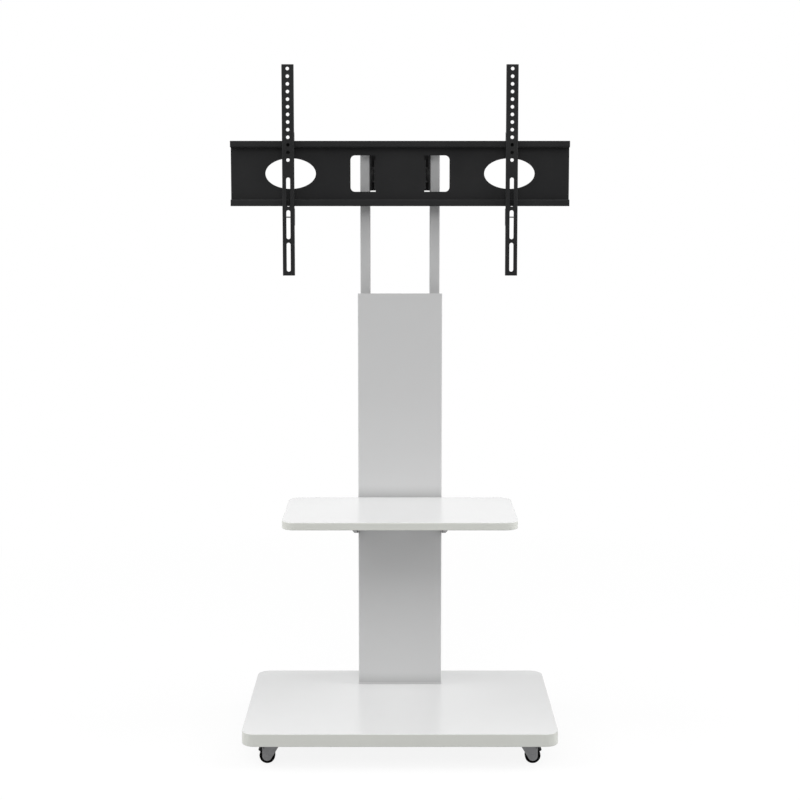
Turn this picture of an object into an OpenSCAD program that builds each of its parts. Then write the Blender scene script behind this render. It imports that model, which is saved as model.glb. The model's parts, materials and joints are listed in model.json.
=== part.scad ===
// Television stand on casters: board base, sheet column with two telescoping tubes,
// shelf clamped round the column, and a tilting mount with two hanging arms.
// X is to the right, Y goes to the back, Z is up. The floor is Z = 0.

/* [Base board] */
// Width of the base board
base_w = 600; // [500:5:800]
// Depth of the base board
base_d = 400; // [370:5:520]
// Thickness of the base board
base_t = 25; // [18:1:32]
// Radius of the base board's corners
base_corner_r = 26; // [10:1:60]
// Small rounding along the edges of both boards
board_edge_r = 1.5; // [0.5:0.25:3]

/* [Casters] */
// Diameter of the caster wheels
wheel_d = 30; // [26:1:36]
// Width of the caster wheels
wheel_w = 13; // [10:0.5:16]
// Trail of a wheel behind its swivel axis
caster_trail = 5; // [4:0.5:8]
// Free height between a wheel's top and the board
caster_head_h = 14; // [14:0.5:20]
// Distance of a swivel axis from the board's side
caster_side = 52; // [45:1:80]
// Distance of a swivel axis from the board's front or back edge
caster_end = 40; // [32:1:60]
// Side of the square caster plate
caster_plate_w = 40; // [36:1:48]
// Distance of a plate screw from the swivel axis, along each side
caster_screw_at = 15.5; // [14.5:0.25:17]

/* [Column] */
// Distance of the column's back from the base board's back edge
column_margin = 10.2; // [10:0.1:60]
// Width of the column cover
column_w = 170; // [168:1:190]
// Height of the column cover above its foot plate
column_h = 805.5; // [700:0.5:900]
// Thickness of the column cover's sheet
cover_t = 1.5; // [1:0.1:2]
// Outer radius of the cover's folds
cover_bend_r = 2.5; // [2.2:0.1:4]
// Drop of the cover's side walls from front to back at the top
cover_rake = 58; // [40:1:90]
// Width of the flange that the cover turns in behind the tubes
cover_return = 17; // [15:0.5:22]
// Room between the cover's front sheet and the guide tubes
cover_front_gap = 36; // [30:0.5:40]
// Thickness of the foot plate
foot_t = 4; // [3:0.5:6]
// How far the foot plate stands proud of the cover at the front and sides
foot_proud = 0.5; // [0.3:0.1:2]

/* [Tubes] */
// Room between a guide tube and the cover's side wall
guide_side_gap = 0.5; // [0.4:0.1:3]
// Width of an upper tube
tube_w = 20; // [18:1:20]
// Depth of an upper tube
tube_d = 40; // [36:1:40]
// Wall of the upper tubes
tube_wall = 1.5; // [1.2:0.1:2]
// Corner radius of the upper tubes
tube_corner_r = 2.5; // [2.1:0.1:3.5]
// Length of an upper tube
tube_len = 610; // [560:5:640]
// Room between an upper tube and its guide tube
guide_room = 1; // [0.8:0.1:1.2]
// Wall of the guide tubes
guide_wall = 1.5; // [1.2:0.1:1.8]
// Distance of the guide tubes' mouths below the top of the cover
guide_drop = 14; // [12:1:30]
// Distance of the height clamps below the guide tubes' mouths
clamp_drop = 24; // [18:1:30]
// Thickness of the plates that tie the guide tubes together
tie_t = 3; // [2:0.5:4]
// Height of a tie plate
tie_h = 60; // [40:5:100]
// Height of the lower tie plate above the foot plate
tie_low_at = 120; // [60:10:250]
// Height of the upper tie plate above the foot plate
tie_high_at = 620; // [450:10:640]

/* [Shelf] */
// Width of the shelf board
shelf_w = 450; // [380:5:560]
// Depth of the shelf board
shelf_d = 250; // [200:5:300]
// Thickness of the shelf board
shelf_t = 15; // [15:1:22]
// Radius of the shelf board's corners
shelf_corner_r = 26; // [10:1:60]
// Height of the shelf's top above the floor
shelf_z = 462; // [420:1:520]
// Thickness of the shelf brackets' sheet
bracket_t = 2; // [1.5:0.5:3]
// Reach of a shelf bracket in front of the column
bracket_reach = 185; // [150:5:190]
// Height of a shelf bracket at its front tip
bracket_tip_h = 13; // [11:1:16]
// Depth of a shelf bracket below the board at the column
bracket_drop = 59.5; // [50:0.5:70]
// Width of a shelf bracket's flanges for the board and for the clamp bar
bracket_flange = 12.5; // [12:0.5:18]
// Width of a shelf bracket's stiffening flange along its slope
bracket_rim = 6; // [4:0.5:12]

/* [Mount] */
// Height of the mount plate's middle above the floor
mount_z = 1118.5; // [1090:0.5:1120]
// Width of the mount plate
plate_w = 680; // [640:5:760]
// Height of the mount plate
plate_h = 130; // [126:1:140]
// Thickness of the mount plate's sheet
plate_t = 2; // [1.5:0.5:2.5]
// Height of a hanging lip
lip_h = 13; // [12:0.5:15]
// Distance that the plate's web lies behind its lips
lip_step = 14; // [12:0.5:16]
// Distance of the plate's lips behind the column's front
plate_y = 7.5; // [4:0.5:8]
// Distance between the middles of the two oval holes
oval_pitch = 440; // [420:1:460]
// Width of an oval hole
oval_w = 101.5; // [80:0.5:110]
// Height of an oval hole
oval_h = 61; // [40:1:66]
// Distance of a window's inner edge from the middle
window_in = 49; // [46:0.5:52]
// Width of a window
window_w = 50.5; // [40:0.5:60]
// Height of a window
window_h = 72.5; // [60:0.5:80]
// Radius of a window's outer corners
window_r = 9; // [4:0.5:14]

/* [Tilt] */
// Distance of the tilt axis behind the plate's web
tilt_back = 23; // [23:0.5:26]
// Distance of the tilt axis below the plate's middle
tilt_drop = 2; // [0:0.5:5]
// Diameter of the tilt pins
pin_d = 8; // [6:0.5:10]
// Diameter of the friction washers
washer_d = 31; // [26:1:34]
// Thickness of the friction washers
washer_t = 6; // [4:0.5:7]
// Thickness of the ears, the yoke and their plates
ear_t = 2.5; // [2:0.25:3]
// Height of the tilt yoke
yoke_h = 76.5; // [72:0.5:80]
// Distance of the yoke's middle above the tilt axis
yoke_up = 6; // [4:0.5:8]

/* [Arms] */
// Distance between the middles of the two arms
arm_pitch = 447; // [300:1:560]
// Length of an arm
arm_len = 419; // [412:1:440]
// Distance of an arm's top above the plate's middle
arm_up = 215.2; // [200:0.1:230]
// Width of an arm
arm_w = 24; // [22:0.5:28]
// Thickness of an arm's sheet
arm_t = 2; // [1.5:0.5:2]
// Outer radius of an arm's folds
arm_bend_r = 3; // [2.5:0.25:4]
// Depth of an arm's flanges between the hooks
arm_depth = 10.6; // [8:0.2:12]
// Depth of an arm's hooks
hook_depth = 22; // [20.5:0.5:23]
// Diameter of the screw holes
hole_d = 7; // [6:0.5:8]
// Distance from hole to hole
hole_pitch = 15; // [14:0.5:16]
// Number of screw holes in an arm
hole_count = 13; // [8:1:13]
// Distance of the first hole from an arm's top
hole_top = 8.4; // [7:0.1:14]
// Width of the screw slots
slot_w = 8; // [6:0.5:9]
// Length of a screw slot
slot_len = 58; // [40:1:60]
// Distance from slot to slot
slot_pitch = 65; // [62:0.5:67]
// Distance of the last slot's end from an arm's bottom
slot_end = 7.9; // [6:0.1:12]

/* [Fits] */
// Gap between parts that slide or turn past each other
slide_gap = 0.3; // [0.2:0.05:0.5]
// Gap all round a turning pin, measured on its radius
pin_gap = 0.05; // [0.02:0.01:0.08]
// Gap round a screw in its hole, measured on its radius
screw_gap = 0.1; // [0.05:0.05:0.3]

/* [Hidden] */
$fn = 48;
cut = 1;

// Heights
base_z = wheel_d + caster_head_h;
foot_z = base_z + base_t;
column_z = foot_z + foot_t;
column_top = column_z + column_h;
guide_top = column_top - guide_drop;
clamp_z = guide_top - clamp_drop;
plate_top = mount_z + plate_h / 2;
plate_bottom = mount_z - plate_h / 2;
pivot_z = mount_z - tilt_drop;
tube_below_plate = 13;
tube_top = plate_top - tube_below_plate;
tube_bottom = tube_top - tube_len;

// Depths and widths
guide_w = tube_w + 2 * (guide_room + guide_wall);
guide_d = tube_d + 2 * (guide_room + guide_wall);
cover_depth = cover_t + cover_front_gap + guide_d + slide_gap + cover_t;
column_y = base_d / 2 - column_margin - cover_depth;
guide_y = column_y + cover_t + cover_front_gap;
guide_in_w = tube_w + 2 * guide_room;
guide_in_d = tube_d + 2 * guide_room;
guide_back = guide_y + guide_d;
tube_y = guide_y + guide_wall + guide_room;
tube_back = tube_y + tube_d;
cover_back = column_y + cover_depth;
foot_d = cover_back + foot_proud - column_y + foot_proud;
web_front = column_y + plate_y + lip_step;
web_back = web_front + plate_t;
pivot_y = web_back + tilt_back;
lip_front = column_y + plate_y;
lip_back = lip_front + plate_t;
arm_front = lip_front - slide_gap - arm_depth;
tube_x = column_w / 2 - cover_t - guide_side_gap - guide_w / 2;
tube_pitch = 2 * tube_x;
yoke_w = tube_pitch - tube_w;
ear_x = yoke_w / 2 - ear_t - washer_t - slide_gap;
guide_corner_r = tube_corner_r + guide_room;

// Casters
wheel_r = wheel_d / 2;
caster_x = base_w / 2 - caster_side;
caster_y = base_d / 2 - caster_end;
caster_plate_t = 2;
caster_plate_r = 4;
fork_t = 2;
fork_over = 4;
fork_beside = 0.7;
fork_top = wheel_d + fork_over;
fork_in_y = wheel_w / 2 + fork_beside;
fork_out_y = fork_in_y + fork_t;
cheek_r = 9.2;
hub_r = 9;
race_r = 8.5;
race_h = 3.6;
race_gap = 0.4;
king_r = 3;
king_head_r = 5;
king_head_t = 1.4;
axle_r = 2.5;
axle_head_r = 4;
axle_head_t = 1;
pedal_pin_r = 1.2;
pedal_boss_r = 2.2;
pedal_pin_out = 6.5;
pedal_pin_drop = 2.2;
pedal_pin_x = caster_trail + pedal_pin_out;
pedal_pin_z = fork_top - pedal_pin_drop;
pedal_t = 4;

// Fasteners
wood_screw_r = 1.9;
wood_screw_head_r = 3.7;
wood_screw_head_t = 2;
base_screw_len = 14;
shelf_screw_len = 11;
shelf_screw_places = [0.12, 0.5, 0.88];
shelf_screw_off = 1;
pilot_spare = 1;
column_bolt_r = 4;
column_bolt_head_t = 5.3;
column_washer_r = 9;
column_washer_t = 1.6;
column_sink_r = 11;
column_sink_t = 8;
column_nut_t = 6.5;
column_bolt_x = 35;
column_bolt_in = 22;
column_bolt_spare = 2;
clamp_bolt_r = 4;
clamp_nut_t = 6;
clamp_head_t = 5;
hex_8 = 7.5;
hex_6 = 5.8;
cover_screw_r = 1.8;
cover_screw_head_r = 3.6;
cover_screw_head_t = 1.8;
cover_screw_len = 9;
cover_screw_heights = [30, 175];
yoke_screw_r = 2.5;
yoke_screw_len = 8;
saddle_bolt_r = 3;
saddle_head_t = 4;
saddle_nut_t = 4.5;
saddle_bolt_in = 9;
saddle_bolt_spare = 1;

// A rectangle with round corners, centred
module rounded_rect(w, d, r) {
    square([w - 2 * r, d], center = true);
    square([w, d - 2 * r], center = true);
    for (sx = [-1, 1], sy = [-1, 1])
        translate([sx * (w / 2 - r), sy * (d / 2 - r)]) circle(r);
}

// A channel seen from above: its flat face lies at y = 0 and its sides run back
module channel_2d(w, depth, t, r) {
    difference() {
        union() {
            translate([-w / 2, r]) square([w, depth - r]);
            translate([-w / 2 + r, 0]) square([w - 2 * r, depth]);
            for (s = [-1, 1]) translate([s * (w / 2 - r), r]) circle(r);
        }
        translate([-w / 2 + t, r]) square([w - 2 * t, depth]);
        translate([-w / 2 + r, t]) square([w - 2 * r, depth]);
        for (s = [-1, 1]) translate([s * (w / 2 - r), r]) circle(r - t);
    }
}

// A quarter of a ring, from 0 to 90 degrees
module quarter_ring(r_in, t) {
    intersection() {
        difference() {
            circle(r_in + t);
            circle(r_in);
        }
        square(r_in + t);
    }
}

// A board with round corners and softly rounded edges, standing on z = 0
module board(w, d, t, r) {
    e = board_edge_r;
    module edge_profile() {
        square([r - e, t]);
        translate([0, e]) square([r, t - 2 * e]);
        for (z = [e, t - e]) translate([r - e, z]) circle(e);
    }
    module side_bar(length) {
        rotate([90, 0, 90])
            translate([0, 0, -length / 2]) linear_extrude(length) edge_profile();
    }
    translate([r - w / 2, r - d / 2, 0]) cube([w - 2 * r, d - 2 * r, t]);
    for (s = [0, 180]) {
        rotate(s) translate([0, d / 2 - r, 0]) side_bar(w - 2 * r);
        rotate(s - 90) translate([0, w / 2 - r, 0]) side_bar(d - 2 * r);
        rotate(s) translate([w / 2 - r, d / 2 - r, 0])
            rotate_extrude(angle = 90) edge_profile();
        rotate(s) translate([-(w / 2 - r), d / 2 - r, 0])
            rotate(90) rotate_extrude(angle = 90) edge_profile();
    }
}

// A hexagonal prism, r being half its width across the corners
module hexagon(r, t) {
    cylinder(r = r, h = t, $fn = 6);
}

module hex_nut(r, bore_r, t) {
    difference() {
        hexagon(r, t);
        translate([0, 0, -cut]) cylinder(r = bore_r, h = t + 2 * cut);
    }
}

// A pan-head screw that points up, the underside of its head at z = 0
module pan_screw(head_r, head_t, r, length) {
    translate([0, 0, -head_t]) cylinder(r1 = head_r * 0.8, r2 = head_r, h = head_t);
    cylinder(r = r, h = length);
}

// A tube of rectangular section, centred on the axis
module box_tube(w, d, wall, r, length) {
    linear_extrude(length) difference() {
        rounded_rect(w, d, r);
        rounded_rect(w - 2 * wall, d - 2 * wall, r - wall);
    }
}

module at_guide(side) {
    translate([side * tube_x, guide_y + guide_d / 2, 0]) children();
}

// Base board with its bores for the column bolts and the caster screws
module base_board() {
    color("whitesmoke") difference() {
        translate([0, 0, base_z]) board(base_w, base_d, base_t, base_corner_r);
        at_column_bolts() {
            translate([0, 0, base_z - cut])
                cylinder(r = column_bolt_r + screw_gap, h = base_t + 2 * cut);
            translate([0, 0, base_z - cut]) cylinder(r = column_sink_r, h = column_sink_t + cut);
        }
        at_casters() at_plate_screws()
            translate([0, 0, base_z - cut])
                cylinder(r = wood_screw_r + screw_gap, h = base_screw_len + cut);
    }
}

module at_column_bolts() {
    for (sx = [-1, 1], y = [column_y + column_bolt_in, cover_back - column_bolt_in])
        translate([sx * column_bolt_x, y, 0]) children();
}

module foot_plate() {
    w = column_w + 2 * foot_proud;
    color("silver") difference() {
        translate([0, column_y - foot_proud + foot_d / 2, foot_z])
            linear_extrude(foot_t) rounded_rect(w, foot_d, cover_bend_r);
        at_column_bolts() translate([0, 0, foot_z - cut])
            cylinder(r = column_bolt_r + screw_gap, h = foot_t + 2 * cut);
    }
}

// Four hexagon bolts from below the board, each with a washer and a nut on the foot plate
module column_bolts() {
    head_z = base_z + column_sink_t - column_washer_t - column_bolt_head_t;
    color("dimgray") at_column_bolts() {
        translate([0, 0, head_z]) {
            hexagon(hex_8, column_bolt_head_t);
            cylinder(r = column_bolt_r, h = column_z + column_nut_t + column_bolt_spare - head_z);
        }
        translate([0, 0, base_z + column_sink_t - column_washer_t]) difference() {
            cylinder(r = column_washer_r, h = column_washer_t);
            translate([0, 0, -cut]) cylinder(r = column_bolt_r + screw_gap, h = 4 * cut);
        }
        translate([0, 0, column_z])
            hex_nut(hex_8, column_bolt_r + screw_gap, column_nut_t);
    }
}

// Outer tube of one side, with the bore of its height clamp and of its cover screws
module guide_tube(side) {
    color("silver") difference() {
        at_guide(side) translate([0, 0, column_z])
            box_tube(guide_w, guide_d, guide_wall, guide_corner_r, guide_top - column_z);
        translate([side * tube_x, guide_back + cut, clamp_z]) rotate([90, 0, 0])
            cylinder(r = clamp_bolt_r + screw_gap, h = guide_wall + 2 * cut);
        at_cover_screws(side) cylinder(r = cover_screw_r + screw_gap, h = cover_screw_len + cut);
    }
}

// Each cover screw points forwards from the cover's rear flange
module at_cover_screws(side) {
    x = column_w / 2 - cover_t - cover_return / 2;
    for (h = cover_screw_heights)
        translate([side * x, cover_back, column_z + h]) rotate([90, 0, 0]) children();
}

module tie_plate(z) {
    w = tube_pitch - guide_w;
    color("silver") translate([-w / 2, guide_back - guide_corner_r - tie_t, z])
        cube([w, tie_t, tie_h]);
}

// Folded cover: front sheet, side walls that rake down to the back, and rear flanges
module column_cover() {
    r = cover_bend_r;
    inner_w = column_w - 2 * cover_t;
    module plan() {
        channel_2d(column_w, cover_depth - r, cover_t, r);
        for (s = [-1, 1]) mirror([s < 0 ? 1 : 0, 0]) {
            translate([column_w / 2 - r, cover_depth - r]) quarter_ring(r - cover_t, cover_t);
            translate([inner_w / 2 - cover_return, cover_depth - cover_t])
                square([cover_return - (r - cover_t), cover_t]);
        }
    }
    color("silver") difference() {
        translate([0, column_y, column_z]) linear_extrude(column_h) plan();
        translate([-column_w, 0, 0]) rotate([90, 0, 90]) linear_extrude(2 * column_w)
            polygon([[column_y + r, column_top], [column_y + r, column_top + cut],
                [cover_back + cut, column_top + cut], [cover_back + cut, column_top - cover_rake]]);
        for (s = [-1, 1]) at_cover_screws(s) translate([0, 0, -cut])
            cylinder(r = cover_screw_r + screw_gap, h = cover_t + 2 * cut);
    }
}

module cover_screws() {
    color("gray") for (s = [-1, 1]) at_cover_screws(s)
        pan_screw(cover_screw_head_r, cover_screw_head_t, cover_screw_r, cover_screw_len);
}

// Plastic collar on a guide tube's mouth, with a thin skirt inside the tube
module guide_bush(side) {
    flange_t = 3;
    skirt_h = 30;
    color("dimgray") at_guide(side) translate([0, 0, guide_top - skirt_h])
        difference() {
            union() {
                linear_extrude(skirt_h)
                    rounded_rect(guide_in_w, guide_in_d, guide_corner_r - guide_wall);
                translate([0, 0, skirt_h]) linear_extrude(flange_t)
                    rounded_rect(guide_w, guide_d, guide_corner_r);
            }
            translate([0, 0, -cut]) linear_extrude(skirt_h + flange_t + 2 * cut)
                rounded_rect(tube_w + 2 * slide_gap, tube_d + 2 * slide_gap, tube_corner_r);
            translate([0, guide_in_d / 2 + cut, skirt_h - clamp_drop]) rotate([90, 0, 0])
                cylinder(r = clamp_bolt_r + screw_gap, h = guide_room + 2 * cut);
        }
}

module at_clamps() {
    for (s = [-1, 1]) translate([s * tube_x, guide_back, clamp_z]) rotate([-90, 0, 0]) children();
}

module clamp_nuts() {
    color("dimgray") at_clamps() hex_nut(hex_8, clamp_bolt_r + screw_gap, clamp_nut_t);
}

// Each clamp bolt ends just short of the upper tube, which it presses when it is tightened
module clamp_bolts() {
    reach = guide_wall + guide_room - slide_gap;
    color("dimgray") at_clamps() {
        translate([0, 0, -reach]) cylinder(r = clamp_bolt_r, h = reach + clamp_nut_t);
        translate([0, 0, clamp_nut_t]) hexagon(hex_8, clamp_head_t);
    }
}

// Casters, each placed with its wheel trailing outwards
function caster_places() = [[-1, -1], [1, -1], [-1, 1], [1, 1]];

module at_caster(k) {
    p = caster_places()[k];
    translate([p[0] * caster_x, p[1] * caster_y, 0]) rotate(p[0] < 0 ? 180 : 0) children();
}

module at_casters() {
    for (k = [0:3]) at_caster(k) children();
}

module at_plate_screws() {
    for (sx = [-1, 1], sy = [-1, 1])
        translate([sx * caster_screw_at, sy * caster_screw_at, 0]) children();
}

// Top plate of a caster with the upper race under it
module caster_plate(k) {
    race_z = fork_top + race_h + race_gap;
    color("gray") at_caster(k) difference() {
        union() {
            translate([0, 0, base_z - caster_plate_t]) linear_extrude(caster_plate_t)
                rounded_rect(caster_plate_w, caster_plate_w, caster_plate_r);
            translate([0, 0, race_z]) cylinder(r = race_r, h = base_z - race_z);
        }
        translate([0, 0, race_z - cut]) cylinder(r = king_r, h = base_z);
        at_plate_screws() translate([0, 0, base_z - caster_plate_t - cut])
            cylinder(r = wood_screw_r + screw_gap, h = caster_plate_t + 2 * cut);
    }
}

// Riveted swivel pins, headed below the forks
module king_pins() {
    head_z = fork_top - fork_t - king_head_t;
    color("gray") at_casters() translate([0, 0, head_z]) {
        cylinder(r = king_head_r, h = king_head_t - slide_gap);
        cylinder(r = king_r, h = base_z - head_z);
    }
}

module caster_screws() {
    color("silver") at_casters() at_plate_screws()
        translate([0, 0, base_z - caster_plate_t])
            pan_screw(wood_screw_head_r, wood_screw_head_t, wood_screw_r,
                caster_plate_t + base_screw_len - pilot_spare);
}

// Fork: two cheeks that taper to the axle, a crown between them, and the lower race
module caster_fork(k) {
    top_in = -16.5;
    top_out = caster_trail + cheek_r;
    crown_out = 8;
    dx = top_in - caster_trail;
    dz = fork_top - wheel_r;
    away = sqrt(dx * dx + dz * dz);
    tangent = atan2(dz, dx) + acos(cheek_r / away);
    module cheek() {
        translate([caster_trail, wheel_r]) circle(cheek_r);
        polygon([[top_in, fork_top], [top_out, fork_top], [top_out, wheel_r],
            [caster_trail, wheel_r],
            [caster_trail + cheek_r * cos(tangent), wheel_r + cheek_r * sin(tangent)]]);
    }
    color("gray") at_caster(k) difference() {
        union() {
            for (y = [-fork_out_y, fork_in_y])
                translate([0, y + fork_t, 0]) rotate([90, 0, 0]) linear_extrude(fork_t) cheek();
            translate([top_in, -fork_in_y, fork_top - fork_t])
                cube([crown_out - top_in, 2 * fork_in_y, fork_t]);
            translate([0, 0, fork_top]) cylinder(r = race_r, h = race_h);
        }
        translate([0, 0, fork_top - fork_t - cut])
            cylinder(r = king_r + pin_gap, h = fork_t + race_h + 2 * cut);
        translate([caster_trail, -fork_out_y - cut, wheel_r]) rotate([-90, 0, 0])
            cylinder(r = axle_r, h = 2 * fork_out_y + 2 * cut);
        at_pedal_pin(fork_out_y + cut) cylinder(r = pedal_pin_r, h = 2 * (fork_out_y + cut));
    }
}

// The brake pedal's pin crosses the fork above the wheel's trailing side
module at_pedal_pin(half) {
    translate([pedal_pin_x, -half, pedal_pin_z]) rotate([-90, 0, 0]) children();
}

module at_axle(k, half) {
    at_caster(k) translate([caster_trail, -half, wheel_r]) rotate([-90, 0, 0]) children();
}

module axle(k) {
    color("silver") at_axle(k, fork_out_y) {
        cylinder(r = axle_r, h = 2 * fork_out_y);
        for (z = [-axle_head_t, 2 * fork_out_y])
            translate([0, 0, z]) cylinder(r = axle_head_r, h = axle_head_t);
    }
}

// Tyre with rounded shoulders
module tyre(k) {
    shoulder = 2;
    color("black") at_axle(k, wheel_w / 2) rotate_extrude() difference() {
        union() {
            translate([hub_r, 0]) square([wheel_r - shoulder - hub_r, wheel_w]);
            translate([hub_r, shoulder]) square([wheel_r - hub_r, wheel_w - 2 * shoulder]);
            for (z = [shoulder, wheel_w - shoulder])
                translate([wheel_r - shoulder, z]) circle(shoulder);
        }
        square([hub_r, 2 * wheel_w]);
    }
}

// Hub with a raised boss at each end of its bore
module wheel_hub(k) {
    web_t = wheel_w - 3;
    color("dimgray") difference() {
        union() {
            at_axle(k, web_t / 2) cylinder(r = hub_r, h = web_t);
            at_axle(k, fork_in_y - slide_gap)
                cylinder(r = axle_r + 2, h = 2 * (fork_in_y - slide_gap));
        }
        at_axle(k, wheel_w) cylinder(r = axle_r + pin_gap, h = 2 * wheel_w);
    }
}

// Brake pedal: an arc over the tyre that ends in a toe tab, turning on its own pin
module brake_pedal(k) {
    half_w = fork_in_y - slide_gap;
    toe_a = 34;
    heel_a = 72;
    toe_len = 5;
    toe_t = 2;
    r_in = wheel_r + slide_gap + 0.2;
    module toe() {
        rotate(toe_a) translate([r_in, 0]) square([toe_len, toe_t]);
    }
    module arc() {
        difference() {
            circle(r_in + pedal_t);
            circle(r_in);
            rotate(heel_a) translate([-2 * wheel_d, 0]) square([4 * wheel_d, 2 * wheel_d]);
            rotate(toe_a) translate([-2 * wheel_d, -2 * wheel_d])
                square([4 * wheel_d, 2 * wheel_d]);
        }
    }
    color("black") at_caster(k) {
        translate([caster_trail, half_w, wheel_r]) rotate([90, 0, 0])
            linear_extrude(2 * half_w) {
                arc();
                toe();
            }
        at_pedal_pin(half_w) cylinder(r = pedal_boss_r, h = 2 * half_w);
        at_pedal_pin(fork_out_y) cylinder(r = pedal_pin_r - pin_gap, h = 2 * fork_out_y);
    }
}

// Upper tube of one side, with the holes for the yoke screws in its inner wall
module upper_tube(side) {
    color("silver") difference() {
        translate([side * tube_x, tube_y + tube_d / 2, tube_bottom])
            box_tube(tube_w, tube_d, tube_wall, tube_corner_r, tube_len);
        at_yoke_screws(side) cylinder(r = yoke_screw_r + screw_gap, h = ear_t + tube_wall + cut);
    }
}

// Plug in a tube's top
module tube_cap(side) {
    plug_h = 12;
    rim_t = 2;
    color("dimgray") translate([side * tube_x, tube_y + tube_d / 2, tube_top - plug_h]) {
        linear_extrude(plug_h) rounded_rect(tube_w - 2 * tube_wall, tube_d - 2 * tube_wall,
            tube_corner_r - tube_wall);
        translate([0, 0, plug_h]) linear_extrude(rim_t)
            rounded_rect(tube_w, tube_d, tube_corner_r);
    }
}

// Plastic slider on a tube's lower end, running in the guide tube
module slide_plug(side) {
    plug_h = 16;
    head_t = 8;
    w = guide_in_w - 2 * slide_gap;
    d = guide_in_d - 2 * slide_gap;
    color("dimgray") translate([side * tube_x, tube_y + tube_d / 2, tube_bottom - head_t]) {
        linear_extrude(head_t) rounded_rect(w, d, tube_corner_r);
        translate([0, 0, head_t]) linear_extrude(plug_h)
            rounded_rect(tube_w - 2 * tube_wall, tube_d - 2 * tube_wall,
                tube_corner_r - tube_wall);
    }
}

// Yoke: channel between the tubes, open to the front, with a window for a spanner
yoke_z = pivot_z + yoke_up - yoke_h / 2;
yoke_depth = 33;
yoke_before_pin = 11;
yoke_screw_in = 10;
yoke_screw_back = 11;
yoke_front = pivot_y - yoke_before_pin;
module tilt_yoke() {
    corner = 3;
    opening_w = 60;
    opening_h = 40;
    color("black") difference() {
        intersection() {
            translate([0, yoke_front + yoke_depth, yoke_z]) mirror([0, 1, 0])
                linear_extrude(yoke_h) channel_2d(yoke_w, yoke_depth, ear_t, ear_t + 1);
            translate([-yoke_w, yoke_front + yoke_depth / 2, yoke_z + yoke_h / 2])
                rotate([90, 0, 90]) linear_extrude(2 * yoke_w)
                    rounded_rect(yoke_depth, yoke_h, corner);
        }
        translate([0, yoke_front + yoke_depth + cut, yoke_z + yoke_h / 2]) rotate([90, 0, 0])
            linear_extrude(2 * cut + ear_t) rounded_rect(opening_w, opening_h, corner);
        at_pivot(yoke_w) cylinder(r = pin_d / 2, h = 2 * yoke_w);
        for (s = [-1, 1]) at_yoke_screws(s) {
            cylinder(r1 = 2 * yoke_screw_r, r2 = yoke_screw_r + screw_gap, h = ear_t);
            translate([0, 0, -cut]) cylinder(r = yoke_screw_r + screw_gap, h = ear_t + 2 * cut);
        }
    }
}

// Countersunk screws that point outwards from inside the yoke
module at_yoke_screws(side) {
    y = yoke_front + yoke_depth - yoke_screw_back;
    for (z = [yoke_z + yoke_screw_in, yoke_z + yoke_h - yoke_screw_in])
        translate([side * (yoke_w / 2 - ear_t), y, z])
            rotate([0, side * 90, 0]) children();
}

module yoke_screws() {
    color("dimgray") for (s = [-1, 1]) at_yoke_screws(s) {
        cylinder(r1 = 2 * yoke_screw_r - screw_gap, r2 = yoke_screw_r, h = ear_t - screw_gap);
        cylinder(r = yoke_screw_r, h = yoke_screw_len);
    }
}

module at_pivot(half) {
    translate([-half, pivot_y, pivot_z]) rotate([0, 90, 0]) children();
}

// Tilt pins, riveted in the yoke's flanges and threaded at their inner ends
pivot_nut_x = ear_x - ear_t - slide_gap;
pivot_nut_t = 6.5;
pivot_washer_t = 1.6;
pin_spare = 3;
module pivot_pins() {
    inner = pivot_nut_x - pivot_washer_t - pivot_nut_t - pin_spare;
    color("gray") for (s = [-1, 1]) scale([s, 1, 1])
        translate([inner, pivot_y, pivot_z]) rotate([0, 90, 0])
            cylinder(r = pin_d / 2, h = yoke_w / 2 - inner);
}

// Friction washer between a yoke flange and an ear, with a softened rim
module friction_washer(side) {
    rim = 1;
    r = washer_d / 2;
    color("dimgray") scale([side, 1, 1])
        translate([ear_x + slide_gap, pivot_y, pivot_z]) rotate([0, 90, 0])
            rotate_extrude() difference() {
                union() {
                    square([r - rim, washer_t]);
                    translate([0, rim]) square([r, washer_t - 2 * rim]);
                    for (z = [rim, washer_t - rim]) translate([r - rim, z]) circle(rim);
                }
                translate([-cut, -cut])
                    square([pin_d / 2 + pin_gap + cut, washer_t + 2 * cut]);
            }
}

module pivot_nuts() {
    color("gray") for (s = [-1, 1]) scale([s, 1, 1])
        translate([pivot_nut_x, pivot_y, pivot_z]) rotate([0, -90, 0]) {
            difference() {
                cylinder(r = pin_d, h = pivot_washer_t);
                translate([0, 0, -cut]) cylinder(r = pin_d / 2 + pin_gap, h = 4 * cut);
            }
            translate([0, 0, pivot_washer_t])
                hex_nut(pin_d - 0.5, pin_d / 2 + pin_gap, pivot_nut_t);
        }
}

// Mount plate: web between two forward steps that end in hanging lips
module tv_plate() {
    ri = 1.2;
    ro = ri + plate_t;
    step_z = plate_h / 2 - lip_h;
    module half_profile() {
        translate([lip_step, 0]) square([plate_t, step_z - ri]);
        translate([lip_step - ri, step_z - ri]) quarter_ring(ri, plate_t);
        translate([ro, step_z]) square([lip_step - ri - ro, plate_t]);
        translate([ro, step_z + ro]) rotate(180) quarter_ring(ri, plate_t);
        translate([0, step_z + ro]) square([plate_t, lip_h - ro]);
    }
    color("black") difference() {
        translate([-plate_w / 2, lip_front, mount_z]) rotate([90, 0, 90])
            linear_extrude(plate_w) {
                half_profile();
                mirror([0, 1]) half_profile();
            }
        translate([0, web_back + cut, mount_z]) rotate([90, 0, 0])
            linear_extrude(plate_t + 2 * cut) for (s = [-1, 1]) {
                translate([s * oval_pitch / 2, 0]) polygon([for (a = [0:5:355])
                    [oval_w / 2 * cos(a), oval_h / 2 * sin(a)]]);
                scale([s, 1]) translate([window_in, 0]) window_outline();
            }
    }
}

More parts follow.
